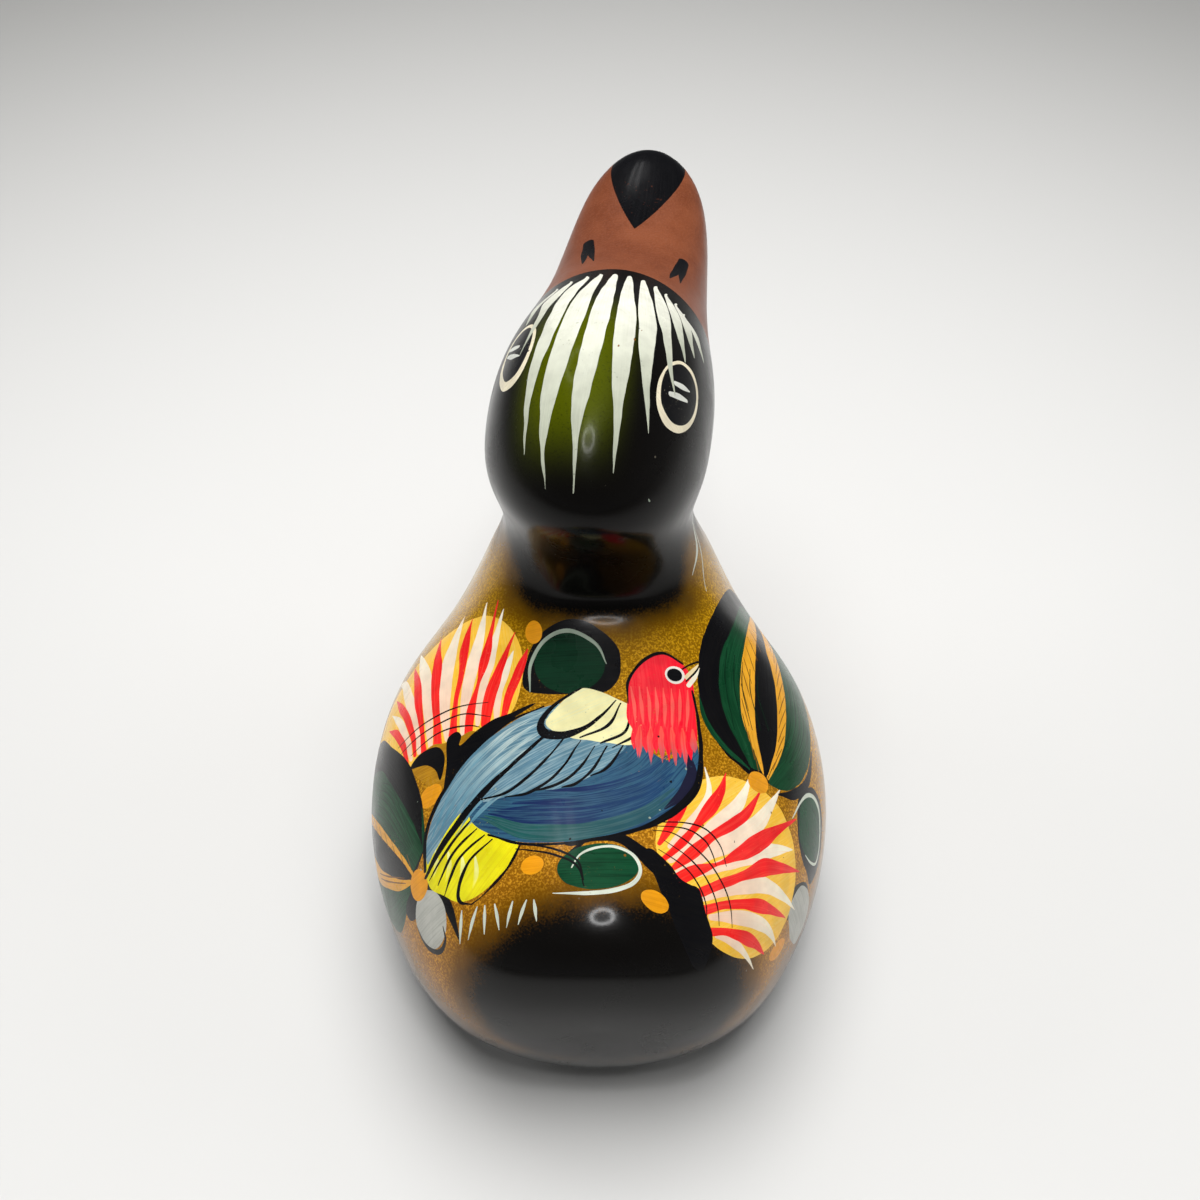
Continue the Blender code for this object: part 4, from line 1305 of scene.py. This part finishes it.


# Table, light and camera
# A pale floor whose colour darkens away from the duck as painted light falloff, two rings of small
# lamps, a wide soft lamp above them, soft lamps at the sides, and the photograph's viewpoint.
FLOOR_HALF = 3.0
FLOOR_PAINTED_FALLOFF = (0.15, 0.90)      # metres from the duck over which the table's colour darkens, as painted falloff of the light
# Table colours near the duck and far off: the far one is painted dimmer, as painted light falloff
TABLE_PAINTED_LIT, TABLE_PAINTED_DIM = (0.68, 0.675, 0.66), (0.20, 0.198, 0.19)
LAMP_AIM = (0, 0, 0.08)
floor_corners = [(FLOOR_HALF * x, FLOOR_HALF * y, 0) for x, y in ((-1, -1), (1, -1), (1, 1), (-1, 1))]
floor_mesh = plain_mesh("floor", floor_corners, [(0, 1, 2, 3)])
floor = bpy.data.objects.new("floor", floor_mesh)
bpy.context.scene.collection.objects.link(floor)
floor_material = bpy.data.materials.new("pale_table_painted_falloff")
floor_material.use_nodes = True
floor_shader = floor_material.node_tree.nodes["Principled BSDF"]
floor_shader.inputs["Roughness"].default_value = 0.6
floor_shader.inputs["Specular IOR Level"].default_value = 0.2
floor_tree = floor_material.node_tree
from_middle = floor_tree.nodes.new("ShaderNodeVectorMath")
from_middle.operation = "LENGTH"
floor_tree.links.new(object_place(floor_tree), from_middle.inputs[0])
# Painted light falloff: the table's colour darkens with distance from the duck
plug(floor_tree, floor_shader.inputs["Base Color"],
     blend(floor_tree, between(floor_tree, from_middle.outputs["Value"], *FLOOR_PAINTED_FALLOFF),
           TABLE_PAINTED_LIT, TABLE_PAINTED_DIM))
floor_mesh.materials.append(floor_material)


def lamp(name, place, target, power, size, mirrored=True):
    light = bpy.data.lights.new(name, "AREA")
    light.shape = "DISK"
    light.size = size
    light.energy = power
    holder = bpy.data.objects.new(name, light)
    holder.location = place
    holder.rotation_euler = (Vector(target) - Vector(place)).to_track_quat("-Z", "Y").to_euler()
    holder.visible_glossy = mirrored
    bpy.context.scene.collection.objects.link(holder)


# Each ring: its middle (x, y), height, radius, how many lamps, each one's power and size
for ring, x, y, height, radius, count, power, size in (
    ("near", -0.04, 0.40, 1.1, 0.12, 16, 0.15, 0.05),
    ("far", 0.24, -0.42, 1.0, 0.22, 14, 0.045, 0.07),
):
    for k in range(count):
        angle = 2 * math.pi * k / count
        place = (x + radius * math.cos(angle), y + radius * math.sin(angle), height)
        lamp(f"{ring}_ring_lamp_{k + 1}", place, LAMP_AIM, power, size)
lamp("soft_top", (-0.02, -0.30, 2.1), (0, 0, 0), 50, 2.0, False)
for name, x, y in (("left", 2.0, -0.2), ("right", -2.0, -0.2), ("far", 0, -2.0)):
    lamp(f"side_{name}", (x, y, 0.8), LAMP_AIM, 10, 1.4, False)

world = bpy.data.worlds.new("studio")
world.use_nodes = True
sky = world.node_tree
upward = sky.nodes.new("ShaderNodeSeparateXYZ")
sky.links.new(sky.nodes.new("ShaderNodeTexCoord").outputs["Generated"], upward.inputs[0])
plug(sky, sky.nodes["Background"].inputs["Strength"],
     between(sky, upward.outputs[2], -0.1, 0.6, 0.16, 0.03))
sky.nodes["Background"].inputs["Color"].default_value = (0.95, 0.97, 1.0, 1)
bpy.context.scene.world = world
bpy.context.scene.view_settings.view_transform = "Standard"

CAMERA_PLACE, CAMERA_AIM = (0, 0.278, 0.376), (0, -0.0219, 0.0819)
FOCAL, CAMERA_ROLL = 47.07, math.radians(0.31)
camera = bpy.data.objects.new("camera", bpy.data.cameras.new("camera"))
camera.data.sensor_width = 36
camera.data.lens = FOCAL
camera.data.clip_start = 0.01
camera.location = CAMERA_PLACE
backward = (Vector(CAMERA_PLACE) - Vector(CAMERA_AIM)).normalized()
sideways = Vector((0, 0, 1)).cross(backward).normalized()
level = Matrix((sideways, backward.cross(sideways), backward)).transposed()
camera.rotation_euler = (Matrix.Rotation(CAMERA_ROLL, 3, backward) @ level).to_euler()
bpy.context.scene.collection.objects.link(camera)
bpy.context.scene.camera = camera
